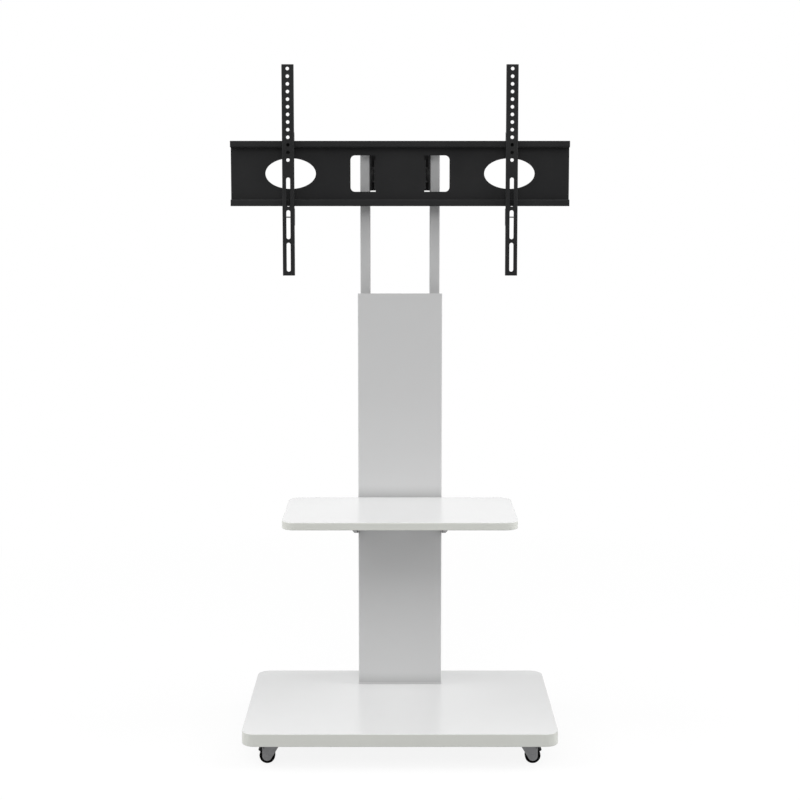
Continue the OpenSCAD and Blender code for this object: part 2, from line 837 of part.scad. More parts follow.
// Window, square at its inner edge and round at its outer corners
module window_outline() {
    translate([0, -window_h / 2]) square([window_w - window_r, window_h]);
    translate([0, window_r - window_h / 2]) square([window_w, window_h - 2 * window_r]);
    for (s = [-1, 1]) translate([window_w - window_r, s * (window_h / 2 - window_r)])
        circle(window_r);
}

// Bracket on the plate's back, with two ears that turn on the tilt pins
module tilt_bracket() {
    base_h = 60;
    ear_r = 13;
    depth = pivot_y + ear_r - web_back;
    bend = ear_t + 1;
    root = bend + 3;
    color("black") difference() {
        intersection() {
            translate([0, web_back, pivot_z - base_h / 2]) linear_extrude(base_h)
                channel_2d(2 * ear_x, depth, ear_t, bend);
            translate([-2 * ear_x, 0, 0]) rotate([90, 0, 90]) linear_extrude(4 * ear_x) {
                translate([web_back, pivot_z - base_h / 2]) square([root, base_h]);
                translate([web_back, pivot_z - ear_r]) square([pivot_y - web_back, 2 * ear_r]);
                translate([pivot_y, pivot_z]) circle(ear_r);
            }
        }
        at_pivot(2 * ear_x) cylinder(r = pin_d / 2 + pin_gap, h = 4 * ear_x);
    }
}

// Hanging arm: channel with a hook over the upper lip, screw holes and slots
arm_top = mount_z + arm_up;
arm_bottom = arm_top - arm_len;
module tv_arm(side) {
    hook_in = 9.5;
    hook_over = 17;
    finger_y = lip_back + slide_gap;
    hook_back = arm_front + hook_depth;
    lock_h = 34;
    lock_gap = 5;
    lock_top = plate_bottom - lock_gap;
    tab_t = 2;
    tab_front = 7;
    tab_back = 3;
    lock_screw_r = 2.1;
    ear_r = 3;
    module rear_ear(z, h) {
        translate([arm_front, z]) square([hook_depth - ear_r, h]);
        translate([arm_front, z + ear_r]) square([hook_depth, h - 2 * ear_r]);
        for (e = [z + ear_r, z + h - ear_r]) translate([hook_back - ear_r, e]) circle(ear_r);
    }
    module side_view() {
        difference() {
            union() {
                translate([arm_front, arm_bottom]) square([arm_depth, arm_len]);
                rear_ear(plate_top - hook_in, hook_in + hook_over);
                rear_ear(lock_top - lock_h, lock_h);
            }
            translate([lip_front - slide_gap, plate_top - hook_in - cut])
                square([finger_y - lip_front + slide_gap, hook_in + cut + slide_gap]);
        }
    }
    module openings() {
        for (k = [0:hole_count - 1])
            translate([0, arm_top - hole_top - k * hole_pitch]) circle(d = hole_d);
        for (k = [0:2]) translate([0, arm_bottom + slot_end + slot_len / 2 + k * slot_pitch]) {
            square([slot_w, slot_len - slot_w], center = true);
            for (s = [-1, 1]) translate([0, s * (slot_len - slot_w) / 2]) circle(d = slot_w);
        }
    }
    color("black") translate([side * arm_pitch / 2, 0, 0]) difference() {
        union() {
            intersection() {
                translate([0, arm_front, arm_bottom]) linear_extrude(arm_len)
                    channel_2d(arm_w, hook_depth, arm_t, arm_bend_r);
                translate([-arm_w, 0, 0]) rotate([90, 0, 90]) linear_extrude(2 * arm_w)
                    side_view();
            }
            translate([arm_t - arm_w / 2, lip_back - tab_front, lock_top - (lock_h + tab_t) / 2])
                cube([arm_w - 2 * arm_t, hook_back - tab_back - lip_back + tab_front, tab_t]);
        }
        translate([0, arm_front + arm_t + cut, 0]) rotate([90, 0, 0])
            linear_extrude(arm_t + 2 * cut) openings();
        translate([0, (lip_front + lip_back) / 2, lock_top - lock_h])
            cylinder(r = lock_screw_r, h = lock_h);
    }
}

// Shelf board, behind its front edge the holes for the bracket screws
shelf_z0 = shelf_z - shelf_t;
shelf_back = column_y - slide_gap;
module shelf_board() {
    color("whitesmoke") difference() {
        translate([0, shelf_back - shelf_d / 2, shelf_z0])
            board(shelf_w, shelf_d, shelf_t, shelf_corner_r);
        at_shelf_screws() translate([0, 0, -cut])
            cylinder(r = wood_screw_r + screw_gap, h = shelf_screw_len + cut);
    }
}

bracket_x = column_w / 2 + slide_gap;
saddle_y = cover_back + slide_gap;
module at_shelf_screws() {
    x = bracket_x + bracket_flange / 2 + shelf_screw_off;
    for (s = [-1, 1], f = shelf_screw_places)
        translate([s * x, shelf_back - bracket_reach * f, shelf_z0]) children();
}

// Gusset beside the column with flanges under the shelf, along its slope and at its back
module shelf_bracket(side) {
    tip_y = shelf_back - bracket_reach;
    low = shelf_z0 - bracket_drop;
    heel_at = 4;
    heel = 8;
    rear_low = low + heel;
    rear_top_gap = 6;
    slope_dy = bracket_reach;
    slope_dz = bracket_drop - bracket_tip_h;
    slope_a = atan2(slope_dz, slope_dy);
    slope_len = sqrt(slope_dy * slope_dy + slope_dz * slope_dz);
    wide = bracket_t + bracket_flange;
    rear_h = bracket_drop - heel - rear_top_gap;
    color("silver") scale([side, 1, 1]) difference() {
        union() {
            translate([bracket_x, 0, 0]) rotate([90, 0, 90]) linear_extrude(bracket_t)
                polygon([[tip_y, shelf_z0], [tip_y, shelf_z0 - bracket_tip_h],
                    [shelf_back, low], [shelf_back + heel_at, low],
                    [shelf_back + heel_at + heel, rear_low],
                    [saddle_y, rear_low], [saddle_y, shelf_z0]]);
            translate([bracket_x, tip_y, shelf_z0 - bracket_t])
                cube([wide, bracket_reach, bracket_t]);
            translate([bracket_x, tip_y, shelf_z0 - bracket_tip_h])
                rotate([-slope_a, 0, 0]) cube([bracket_t + bracket_rim, slope_len, bracket_t]);
            translate([bracket_x, saddle_y - bracket_t, rear_low])
                cube([wide, bracket_t, rear_h]);
        }
        at_shelf_screws() translate([0, 0, -bracket_t - cut])
            cylinder(r = wood_screw_r + screw_gap, h = bracket_t + 2 * cut);
        at_saddle_bolts() translate([0, 0, -bracket_t - cut])
            cylinder(r = saddle_bolt_r + screw_gap, h = bracket_t + 2 * cut);
    }
}

// Each saddle bolt points forwards through the bar and the brackets' rear flanges
saddle_bar_t = 3;
saddle_bar_h = 36;
saddle_bar_r = 4;
saddle_bar_up = 11;
saddle_bar_z = shelf_z0 - bracket_drop + saddle_bar_up;
module at_saddle_bolts() {
    for (s = [-1, 1], z = [saddle_bolt_in, saddle_bar_h - saddle_bolt_in])
        translate([s * (bracket_x + bracket_t + bracket_flange / 2), saddle_y,
            saddle_bar_z + z]) rotate([-90, 0, 0]) children();
}

module shelf_clamp_bar() {
    w = 2 * (bracket_x + bracket_t + bracket_flange);
    color("dimgray") difference() {
        translate([0, saddle_y + saddle_bar_t, saddle_bar_z + saddle_bar_h / 2])
            rotate([90, 0, 0]) linear_extrude(saddle_bar_t)
                rounded_rect(w, saddle_bar_h, saddle_bar_r);
        at_saddle_bolts() translate([0, 0, -cut])
            cylinder(r = saddle_bolt_r + screw_gap, h = saddle_bar_t + 2 * cut);
    }
}

module shelf_screws() {
    color("silver") at_shelf_screws() translate([0, 0, -bracket_t])
        pan_screw(wood_screw_head_r, wood_screw_head_t, wood_screw_r,
            bracket_t + shelf_screw_len - pilot_spare);
}

module saddle_bolts() {
    inner = bracket_t + saddle_nut_t;
    color("silver") at_saddle_bolts() {
        translate([0, 0, saddle_bar_t]) hexagon(hex_6, saddle_head_t);
        translate([0, 0, -inner - saddle_bolt_spare])
            cylinder(r = saddle_bolt_r, h = inner + saddle_bolt_spare + saddle_bar_t);
        translate([0, 0, -inner])
            hex_nut(hex_6, saddle_bolt_r + screw_gap, saddle_nut_t);
    }
}

base_board();
foot_plate();
column_bolts();
guide_tube(-1);  // guide_tube_left
guide_tube(1);  // guide_tube_right
tie_plate(column_z + tie_high_at);  // tie_plate_upper
tie_plate(column_z + tie_low_at);  // tie_plate_lower
column_cover();
cover_screws();
guide_bush(-1);  // guide_bush_left
guide_bush(1);  // guide_bush_right
clamp_nuts();
clamp_bolts();
caster_plate(0);  // caster_plate_fl
caster_plate(1);  // caster_plate_fr
caster_plate(2);  // caster_plate_rl
caster_plate(3);  // caster_plate_rr
king_pins();
caster_screws();
upper_tube(-1);  // upper_tube_left
upper_tube(1);  // upper_tube_right
tube_cap(-1);  // tube_cap_left
tube_cap(1);  // tube_cap_right
slide_plug(-1);  // slide_plug_left
slide_plug(1);  // slide_plug_right
tilt_yoke();
yoke_screws();
pivot_pins();
friction_washer(-1);  // friction_washer_left
friction_washer(1);  // friction_washer_right
pivot_nuts();
tv_plate();
tilt_bracket();
tv_arm(-1);  // tv_arm_left
tv_arm(1);  // tv_arm_right
shelf_board();
shelf_bracket(-1);  // shelf_bracket_left
shelf_bracket(1);  // shelf_bracket_right
shelf_clamp_bar();
shelf_screws();
saddle_bolts();
caster_fork(0);  // caster_fork_fl
caster_fork(1);  // caster_fork_fr
caster_fork(2);  // caster_fork_rl
caster_fork(3);  // caster_fork_rr
tyre(0);  // tyre_fl
tyre(1);  // tyre_fr
tyre(2);  // tyre_rl
tyre(3);  // tyre_rr
wheel_hub(0);  // wheel_hub_fl
wheel_hub(1);  // wheel_hub_fr
wheel_hub(2);  // wheel_hub_rl
wheel_hub(3);  // wheel_hub_rr
axle(0);  // axle_fl
axle(1);  // axle_fr
axle(2);  // axle_rl
axle(3);  // axle_rr
brake_pedal(0);  // brake_pedal_fl
brake_pedal(1);  // brake_pedal_fr
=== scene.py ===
# Television stand on casters: finishes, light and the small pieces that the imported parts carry.
import json
import math
import bmesh
import bpy
from mathutils import Matrix, Vector


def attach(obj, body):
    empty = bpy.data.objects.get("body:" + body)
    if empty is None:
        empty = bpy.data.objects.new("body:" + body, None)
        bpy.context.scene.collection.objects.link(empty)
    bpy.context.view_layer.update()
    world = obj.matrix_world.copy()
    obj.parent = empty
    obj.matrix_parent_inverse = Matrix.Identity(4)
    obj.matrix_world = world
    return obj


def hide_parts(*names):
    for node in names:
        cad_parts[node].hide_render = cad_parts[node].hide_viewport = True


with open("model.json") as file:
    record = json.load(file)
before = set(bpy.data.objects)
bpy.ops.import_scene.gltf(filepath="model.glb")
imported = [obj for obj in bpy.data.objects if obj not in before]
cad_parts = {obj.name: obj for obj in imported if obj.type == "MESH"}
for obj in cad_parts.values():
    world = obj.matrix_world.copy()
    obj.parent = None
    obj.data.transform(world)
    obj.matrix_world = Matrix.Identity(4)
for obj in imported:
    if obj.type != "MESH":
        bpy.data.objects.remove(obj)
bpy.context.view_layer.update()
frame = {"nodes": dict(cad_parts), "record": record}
parts = frame["nodes"]
bodyOf = {name: body for body, names in frame["record"]["behaviour"]["bodies"].items() for name in names}

# Camera, floor and studio light
cameraSetup = {"lens": 72.53, "sensor": 36.0, "shiftY": -0.05, "place": (0.0, -3.1364, 1.10097), "downDegrees": 6.289}
studio = {
    "domeLow": 0.345, "domeHigh": 0.47,                  # light of the room at the horizon and overhead
    "floorSize": 14.0, "floorTone": 0.50,
    "floorWhite": 0.88,                                  # share of plain white that the camera sees near the stand
    "whiteFrom": 0.7, "whiteTo": 2.0,                    # distances between which the floor fades to plain white
    "softboxes": {                                       # place, point it faces, width, height, power
        "rightBox": ((2.9, 0.1, 1.1), (0.0, 0.05, 0.7), 2.0, 2.2, 9.0),
        "highLeftBox": ((-2.4, -0.3, 2.5), (0.0, 0.05, 0.7), 2.0, 2.0, 52.0),
        "highRightBox": ((2.4, -0.3, 2.5), (0.0, 0.05, 0.7), 2.0, 2.0, 47.0),
        "frontBox": ((0.0, -2.7, 2.7), (0.0, 0.05, 0.7), 2.6, 1.6, 29.0),
    },
}
plainWhite = (1.0, 1.0, 1.0, 1.0)


def makeCamera():
    data = bpy.data.cameras.new("frontCamera")
    data.lens = cameraSetup["lens"]
    data.sensor_width = cameraSetup["sensor"]
    data.shift_y = cameraSetup["shiftY"]
    camera = bpy.data.objects.new("frontCamera", data)
    camera.location = cameraSetup["place"]
    camera.rotation_euler = (math.radians(90.0 - cameraSetup["downDegrees"]), 0.0, 0.0)
    bpy.context.scene.collection.objects.link(camera)
    bpy.context.scene.camera = camera


def addNode(tree, kind, links=None, values=None, **settings):
    node = tree.nodes.new("ShaderNode" + kind)
    for key, value in settings.items():
        setattr(node, key, value)
    for socket, value in (values or {}).items():
        node.inputs[socket].default_value = value
    for socket, source in (links or {}).items():
        tree.links.new(source, node.inputs[socket])
    return node


def seenRays(tree):                                      # 1 for what the camera, gloss and glass look at
    path = addNode(tree, "LightPath")
    seen = path.outputs["Is Camera Ray"]
    for kind in ("Is Glossy Ray", "Is Transmission Ray"):
        seen = addNode(tree, "Math", {0: seen, 1: path.outputs[kind]}, operation="MAXIMUM").outputs[0]
    return seen


def makeStudio():
    world = bpy.data.worlds.new("studioRoom")
    bpy.context.scene.world = world
    world.use_nodes = True
    tree = world.node_tree
    tree.nodes.clear()
    height = addNode(tree, "SeparateXYZ", {0: addNode(tree, "TexCoord").outputs["Generated"]}).outputs["Z"]
    strength = addNode(tree, "MapRange", {"Value": height}, {"To Min": studio["domeLow"], "To Max": studio["domeHigh"]})
    light = addNode(tree, "Background", {"Strength": strength.outputs[0]}, {"Color": plainWhite})
    white = addNode(tree, "Background", values={"Color": plainWhite, "Strength": 1.0})
    mix = addNode(tree, "MixShader", {0: seenRays(tree), 1: light.outputs[0], 2: white.outputs[0]})
    addNode(tree, "OutputWorld", {"Surface": mix.outputs[0]})

    material = bpy.data.materials.new("paleFloor")
    material.use_nodes = True
    tree = material.node_tree
    tree.nodes.clear()
    tone = studio["floorTone"]
    matt = addNode(tree, "BsdfDiffuse", values={"Color": (tone, tone, tone, 1.0)})
    shaded = addNode(tree, "BsdfDiffuse", values={"Color": plainWhite})
    glow = addNode(tree, "Emission", values={"Color": plainWhite, "Strength": 1.0})
    place = addNode(tree, "TexCoord").outputs["Object"]
    far = addNode(tree, "VectorMath", {0: place}, operation="LENGTH").outputs["Value"]
    share = addNode(tree, "MapRange", {"Value": far}, {
        "From Min": studio["whiteFrom"], "From Max": studio["whiteTo"], "To Min": studio["floorWhite"], "To Max": 1.0})
    lit = addNode(tree, "MixShader", {0: share.outputs[0], 1: shaded.outputs[0], 2: glow.outputs[0]})
    mix = addNode(tree, "MixShader", {0: seenRays(tree), 1: matt.outputs[0], 2: lit.outputs[0]})
    addNode(tree, "OutputMaterial", {"Surface": mix.outputs[0]})
    bm = bmesh.new()
    bmesh.ops.create_grid(bm, x_segments=1, y_segments=1, size=studio["floorSize"] / 2)
    mesh = bpy.data.meshes.new("studioFloor")
    bm.to_mesh(mesh)
    bm.free()
    mesh.materials.append(material)
    floor = bpy.data.objects.new("studioFloor", mesh)
    bpy.context.scene.collection.objects.link(floor)

    for name, (place, target, width, height, power) in studio["softboxes"].items():
        lamp = bpy.data.lights.new(name, "AREA")
        lamp.shape = "RECTANGLE"
        lamp.size, lamp.size_y, lamp.energy = width, height, power
        box = bpy.data.objects.new(name, lamp)
        box.location = place
        box.rotation_mode = "QUATERNION"
        box.rotation_quaternion = (Vector(place) - Vector(target)).to_track_quat("Z", "Y")
        bpy.context.scene.collection.objects.link(box)


makeCamera()
makeStudio()
bpy.context.scene.view_settings.view_transform = "Standard"
print("stand: camera and studio set")


# Effects that several finishes share
def startGroup(name, inputs, outputs):
    tree = bpy.data.node_groups.new(name, "ShaderNodeTree")
    for label, value in inputs.items():
        socket = tree.interface.new_socket(name=label, in_out="INPUT", socket_type="NodeSocketFloat")
        socket.default_value = value
    for label, kind in outputs.items():
        tree.interface.new_socket(name=label, in_out="OUTPUT", socket_type="NodeSocket" + kind)
    return tree, tree.nodes.new("NodeGroupInput").outputs, tree.nodes.new("NodeGroupOutput")


def scaledNoise(tree, vector, scale, detail, rough=0.55, stretch=None):
    if stretch:
        vector = addNode(tree, "Mapping", {"Vector": vector}, {"Scale": stretch}).outputs[0]
    noise = addNode(tree, "TexNoise", {"Vector": vector}, {"Detail": detail, "Roughness": rough})
    if isinstance(scale, (int, float)):
        noise.inputs["Scale"].default_value = scale
    else:
        tree.links.new(scale, noise.inputs["Scale"])
    return noise.outputs[0]


def mathNode(tree, operation, a, b, clamp=False):
    node = addNode(tree, "Math", operation=operation, use_clamp=clamp)
    for socket, value in ((0, a), (1, b)):
        if isinstance(value, (int, float)):
            node.inputs[socket].default_value = value
        else:
            tree.links.new(value, node.inputs[socket])
    return node.outputs[0]


def times(tree, a, b, clamp=False):
    return mathNode(tree, "MULTIPLY", a, b, clamp)


def rangeNode(tree, value, low, high, toLow=0.0, toHigh=1.0):
    limits = {"From Min": low, "From Max": high, "To Min": toLow, "To Max": toHigh}
    return addNode(tree, "MapRange", {"Value": value}, limits).outputs[0]


def makeSoftEdge():                                      # rounds a folded or cut edge and finds where hands rub it
    tree, given, out = startGroup("softEdge", {"Radius": 0.0006, "Breakup": 90.0}, {"Normal": "Vector", "Rub": "Float"})
    bevel = addNode(tree, "Bevel", {"Radius": given["Radius"]}, samples=6)
    shape = addNode(tree, "NewGeometry")
    dot = addNode(tree, "VectorMath", {0: bevel.outputs[0], 1: shape.outputs["True Normal"]}, operation="DOT_PRODUCT")
    edge = rangeNode(tree, dot.outputs["Value"], 0.995, 0.80)
    place = addNode(tree, "TexCoord").outputs["Object"]
    patches = rangeNode(tree, scaledNoise(tree, place, given["Breakup"], 3.0), 0.42, 0.66)
    rub = times(tree, edge, patches, clamp=True)
    tree.links.new(bevel.outputs[0], out.inputs["Normal"])
    tree.links.new(rub, out.inputs["Rub"])
    return tree


def makePowderGrain():                                   # fine pimples and slow drifts of a sprayed and baked coat
    tree, given, out = startGroup("powderGrain", {"Grain": 1100.0, "Drift": 7.0}, {"Height": "Float", "Tone": "Float"})
    place = addNode(tree, "TexCoord").outputs["Object"]
    fine = scaledNoise(tree, place, given["Grain"], 2.0, 0.6)
    wide = scaledNoise(tree, place, times(tree, given["Grain"], 0.28), 1.0)
    height = mathNode(tree, "ADD", times(tree, fine, 0.65), times(tree, wide, 0.35))
    tone = rangeNode(tree, scaledNoise(tree, place, given["Drift"], 3.0), 0.3, 0.7)
    tree.links.new(height, out.inputs["Height"])
    tree.links.new(tone, out.inputs["Tone"])
    return tree


def makeRestingDust():                                   # thin dust that settles on what faces up
    tree, given, out = startGroup("restingDust", {"Amount": 0.3, "Patch": 14.0}, {"Mask": "Float"})
    coords = addNode(tree, "TexCoord")
    up = addNode(tree, "SeparateXYZ", {0: coords.outputs["Normal"]}).outputs["Z"]
    facing = rangeNode(tree, up, 0.35, 0.95)
    patches = rangeNode(tree, scaledNoise(tree, coords.outputs["Object"], given["Patch"], 4.0), 0.3, 0.75)
    specks = rangeNode(tree, scaledNoise(tree, coords.outputs["Object"], 620.0, 2.0), 0.45, 0.75)
    dust = times(tree, times(tree, patches, specks), facing)
    tree.links.new(times(tree, dust, given["Amount"], clamp=True), out.inputs["Mask"])
    return tree


def makeHandling():                                      # faint wiping marks, longer along Z
    tree, given, out = startGroup("handling", {"Amount": 0.5, "Fineness": 60.0}, {"Mask": "Float"})
    place = addNode(tree, "TexCoord").outputs["Object"]
    streaks = rangeNode(tree, scaledNoise(tree, place, given["Fineness"], 5.0, 0.65, (1.0, 1.0, 0.12)), 0.38, 0.72)
    clouds = rangeNode(tree, scaledNoise(tree, place, 9.0, 3.0), 0.35, 0.7)
    marks = times(tree, times(tree, streaks, clouds), given["Amount"], clamp=True)
    tree.links.new(marks, out.inputs["Mask"])
    return tree


def makePlatingSpangle():                                # crystals and cloudiness of a zinc plated surface
    tree, given, out = startGroup("platingSpangle", {"Crystal": 900.0}, {"Tone": "Float", "Height": "Float"})
    place = addNode(tree, "TexCoord").outputs["Object"]
    cells = addNode(tree, "TexVoronoi", {"Vector": place, "Scale": given["Crystal"]})
    grey = addNode(tree, "SeparateColor", {0: cells.outputs["Color"]}).outputs[0]
    clouds = scaledNoise(tree, place, 120.0, 3.0)
    tone = mathNode(tree, "ADD", times(tree, grey, 0.4), times(tree, clouds, 0.6))
    tree.links.new(tone, out.inputs["Tone"])
    tree.links.new(scaledNoise(tree, place, 1500.0, 2.0), out.inputs["Height"])
    return tree


def makePaintedCornerShade():                                   # painted shade: the colour darkens where two pieces meet, found by ambient occlusion
    tree, given, out = startGroup("paintedCornerShade", {"Reach": 0.026, "Amount": 0.45}, {"Mask": "Float"})
    near = addNode(tree, "AmbientOcclusion", {"Distance": given["Reach"]}, samples=8)
    closed = mathNode(tree, "SUBTRACT", 1.0, near.outputs["AO"])
    tree.links.new(times(tree, closed, given["Amount"], clamp=True), out.inputs["Mask"])
    return tree


softEdge = makeSoftEdge()
paintedCornerShade = makePaintedCornerShade()
powderGrain = makePowderGrain()
restingDust = makeRestingDust()
handling = makeHandling()
platingSpangle = makePlatingSpangle()


def startFinish(name, constants):
    material = bpy.data.materials.new(name)
    material.use_nodes = True
    tree = material.node_tree
    tree.nodes.clear()
    shader = addNode(tree, "BsdfPrincipled", values=constants)
    addNode(tree, "OutputMaterial", {"Surface": shader.outputs[0]})
    return material, tree, shader.inputs


def useGroup(tree, group, **values):
    node = tree.nodes.new("ShaderNodeGroup")
    node.node_tree = group
    for label, value in values.items():
        node.inputs[label].default_value = value
    return node.outputs


def mixColours(tree, share, first, second):
    node = addNode(tree, "Mix", data_type="RGBA")
    for socket, value in ((0, share), (6, first), (7, second)):
        if isinstance(value, (int, float)):
            node.inputs[socket].default_value = value
        elif isinstance(value, (tuple, list)):
            node.inputs[socket].default_value = (*value, 1.0)
        else:
            tree.links.new(value, node.inputs[socket])
    return node.outputs[2]


def bumpedNormal(tree, height, depth, normal=None):
    bump = addNode(tree, "Bump", {"Height": height}, {"Strength": 1.0, "Distance": depth})
    if normal:
        tree.links.new(normal, bump.inputs["Normal"])
    return bump.outputs[0]


lacquerLook = {
    "face": (0.748, 0.750, 0.750), "faceDrift": (0.724, 0.726, 0.726),
    "band": (0.755, 0.765, 0.720), "bandDrift": (0.735, 0.745, 0.700),
    "rub": (0.66, 0.655, 0.63), "gloss": (0.22, 0.34),
}


def makeWhiteLacquer():                                  # lacquered boards, their edges banded a little warmer
    look = lacquerLook
    material, tree, shader = startFinish("whiteLacquer", {"Specular IOR Level": 0.5})
    coords = addNode(tree, "TexCoord")
    upward = addNode(tree, "SeparateXYZ", {0: coords.outputs["Normal"]}).outputs["Z"]
    flat = rangeNode(tree, mathNode(tree, "ABSOLUTE", upward, 0.0), 0.55, 0.75)
    grain = useGroup(tree, powderGrain, Grain=420.0, Drift=4.0)
    face = mixColours(tree, grain["Tone"], look["face"], look["faceDrift"])
    band = mixColours(tree, grain["Tone"], look["band"], look["bandDrift"])
    colour = mixColours(tree, flat, band, face)
    edge = useGroup(tree, softEdge, Radius=0.0008, Breakup=60.0)
    worn = mixColours(tree, times(tree, edge["Rub"], 0.25), colour, look["rub"])
    tree.links.new(worn, shader["Base Color"])
    wiped = useGroup(tree, handling, Amount=0.15, Fineness=24.0)
    rough = rangeNode(tree, wiped["Mask"], 0.0, 1.0, *look["gloss"])
    tree.links.new(rough, shader["Roughness"])
    tree.links.new(bumpedNormal(tree, grain["Height"], 0.00003, edge["Normal"]), shader["Normal"])
    return material


silverLooks = {                                          # coat below and above the two heights, a painted light and shade gradient along Z, rubbed edge
    # painted light: the column is lighter on its lower part, up to just above the shelf, and darker at its top
    "silverPaint": {"low": (0.664, 0.666, 0.667), "high": (0.592, 0.594, 0.595), "heights": (0.47, 0.87),
                    "rub": (0.50, 0.50, 0.50), "rough": (0.42, 0.52), "paintedShade": 0.62},
    # painted shadow: the tubes are darker high up, under the mount plate
    "silverTubePaint": {"low": (0.545, 0.547, 0.549), "high": (0.468, 0.470, 0.472), "heights": (0.93, 1.03),
                        "rub": (0.40, 0.40, 0.40), "rough": (0.36, 0.46), "paintedShade": 0.10},
    # painted shade: the brackets are a little darker higher up, under the shelf
    "bracketPaint": {"low": (0.070, 0.070, 0.072), "high": (0.064, 0.064, 0.066), "heights": (0.38, 0.45),
                     "rub": (0.12, 0.12, 0.12), "rough": (0.42, 0.54), "paintedShade": 0.45},
    "footPlatePaint": {"low": (0.664, 0.666, 0.667), "high": (0.664, 0.666, 0.667), "heights": (0.06, 0.08),
                       "rub": (0.50, 0.50, 0.50), "rough": (0.42, 0.52), "paintedShade": 0.20},
}
# painted shade: the dark that the silver coats take on where other pieces are near
paintedShadeColour = (0.05, 0.05, 0.05)


def makeSilverPaint(name):                               # pale silver grey coat of the column and the tubes
    look = silverLooks[name]
    material, tree, shader = startFinish(name, {"Specular IOR Level": 0.45})
    grain = useGroup(tree, powderGrain, Grain=1300.0, Drift=5.0)
    edge = useGroup(tree, softEdge, Radius=0.0006, Breakup=75.0)
    wiped = useGroup(tree, handling, Amount=0.6, Fineness=36.0)
    paintedShade = useGroup(tree, paintedCornerShade, Reach=0.026, Amount=look["paintedShade"])
    height = addNode(tree, "SeparateXYZ", {0: addNode(tree, "TexCoord").outputs["Object"]}).outputs["Z"]
    # painted light and shade: the coat changes from the low to the high colour between the two heights
    coat = mixColours(tree, rangeNode(tree, height, *look["heights"]), look["low"], look["high"])
    base = mixColours(tree, times(tree, grain["Tone"], 0.06), coat, look["rub"])
    worn = mixColours(tree, times(tree, edge["Rub"], 0.35), base, look["rub"])
    # painted shade: the coat is darkened towards this dark colour where other pieces are near, standing in for their
    # contact shadow
    tree.links.new(mixColours(tree, paintedShade["Mask"], worn, paintedShadeColour), shader["Base Color"])
    tree.links.new(rangeNode(tree, wiped["Mask"], 0.0, 1.0, *look["rough"]), shader["Roughness"])
    tree.links.new(bumpedNormal(tree, grain["Height"], 0.00005, edge["Normal"]), shader["Normal"])
    return material


blackLook = {
    "coat": (0.0210, 0.0212, 0.0218), "drift": (0.0262, 0.0264, 0.0270), "rub": (0.060, 0.060, 0.062),
    "dust": (0.30, 0.29, 0.27), "rough": (0.50, 0.62),
}


def makeBlackPowder():                                   # black fine textured coat of the mount
    look = blackLook
    material, tree, shader = startFinish("blackPowder", {"Specular IOR Level": 0.05})
    grain = useGroup(tree, powderGrain, Grain=1000.0, Drift=11.0)
    edge = useGroup(tree, softEdge, Radius=0.0006, Breakup=110.0)
    dust = useGroup(tree, restingDust, Amount=0.10, Patch=20.0)
    wiped = useGroup(tree, handling, Amount=0.8, Fineness=50.0)
    base = mixColours(tree, grain["Tone"], look["coat"], look["drift"])
    worn = mixColours(tree, times(tree, edge["Rub"], 0.30), base, look["rub"])
    tree.links.new(mixColours(tree, dust["Mask"], worn, look["dust"]), shader["Base Color"])
    tree.links.new(rangeNode(tree, wiped["Mask"], 0.0, 1.0, *look["rough"]), shader["Roughness"])
    tree.links.new(bumpedNormal(tree, grain["Height"], 0.00016, edge["Normal"]), shader["Normal"])
    return material


plasticLooks = {                                         # colour, its drift, roughness, grain and its depth
    "mouldedBlack": {"colour": (0.0040, 0.0040, 0.0042), "drift": (0.0065, 0.0065, 0.0068), "rough": (0.42, 0.58),
                     "grain": 1600.0, "depth": 0.00005, "gloss": 0.16, "dust": 0.05},
    "hubNylon": {"colour": (0.23, 0.23, 0.235), "drift": (0.27, 0.27, 0.275), "rough": (0.40, 0.52),
                 "grain": 1500.0, "depth": 0.00004, "gloss": 0.38, "dust": 0.12},
    "wheelRubber": {"colour": (0.0010, 0.0010, 0.0010), "drift": (0.0022, 0.0022, 0.0022), "rough": (0.60, 0.78),
                    "grain": 1200.0, "depth": 0.00009, "gloss": 0.03, "dust": 0.004},
    "washerNylon": {"colour": (0.0065, 0.0065, 0.0068), "drift": (0.0100, 0.0100, 0.0104), "rough": (0.42, 0.54),
                    "grain": 1800.0, "depth": 0.00003, "gloss": 0.15, "dust": 0.03},
}
paleDust = (0.33, 0.32, 0.30)


def makeMoulded(name):                                   # rubber and moulded plastics, paler where they rub
    look = plasticLooks[name]
    material, tree, shader = startFinish(name, {"Specular IOR Level": look["gloss"]})
    grain = useGroup(tree, powderGrain, Grain=look["grain"], Drift=40.0)
    edge = useGroup(tree, softEdge, Radius=0.0004, Breakup=300.0)
    dust = useGroup(tree, restingDust, Amount=look["dust"], Patch=60.0)
    rubbed = tuple(min(1.0, 3.2 * c + 0.02) for c in look["drift"])
    base = mixColours(tree, grain["Tone"], look["colour"], look["drift"])
    worn = mixColours(tree, times(tree, edge["Rub"], 0.35), base, rubbed)
    tree.links.new(mixColours(tree, dust["Mask"], worn, paleDust), shader["Base Color"])
    tree.links.new(rangeNode(tree, grain["Tone"], 0.0, 1.0, *look["rough"]), shader["Roughness"])
    tree.links.new(bumpedNormal(tree, grain["Height"], look["depth"], edge["Normal"]), shader["Normal"])
    return material


metalLooks = {
    "zincPlated": {"dull": (0.42, 0.42, 0.40), "bright": (0.62, 0.62, 0.61), "metallic": 0.9, "rough": (0.30, 0.46)},
    "casterSteel": {"dull": (0.20, 0.20, 0.205), "bright": (0.26, 0.26, 0.265), "metallic": 0.35,
                    "rough": (0.38, 0.52)},
    "blackOxide": {"dull": (0.030, 0.030, 0.032), "bright": (0.055, 0.055, 0.058), "metallic": 0.7,
                   "rough": (0.34, 0.48)},
}


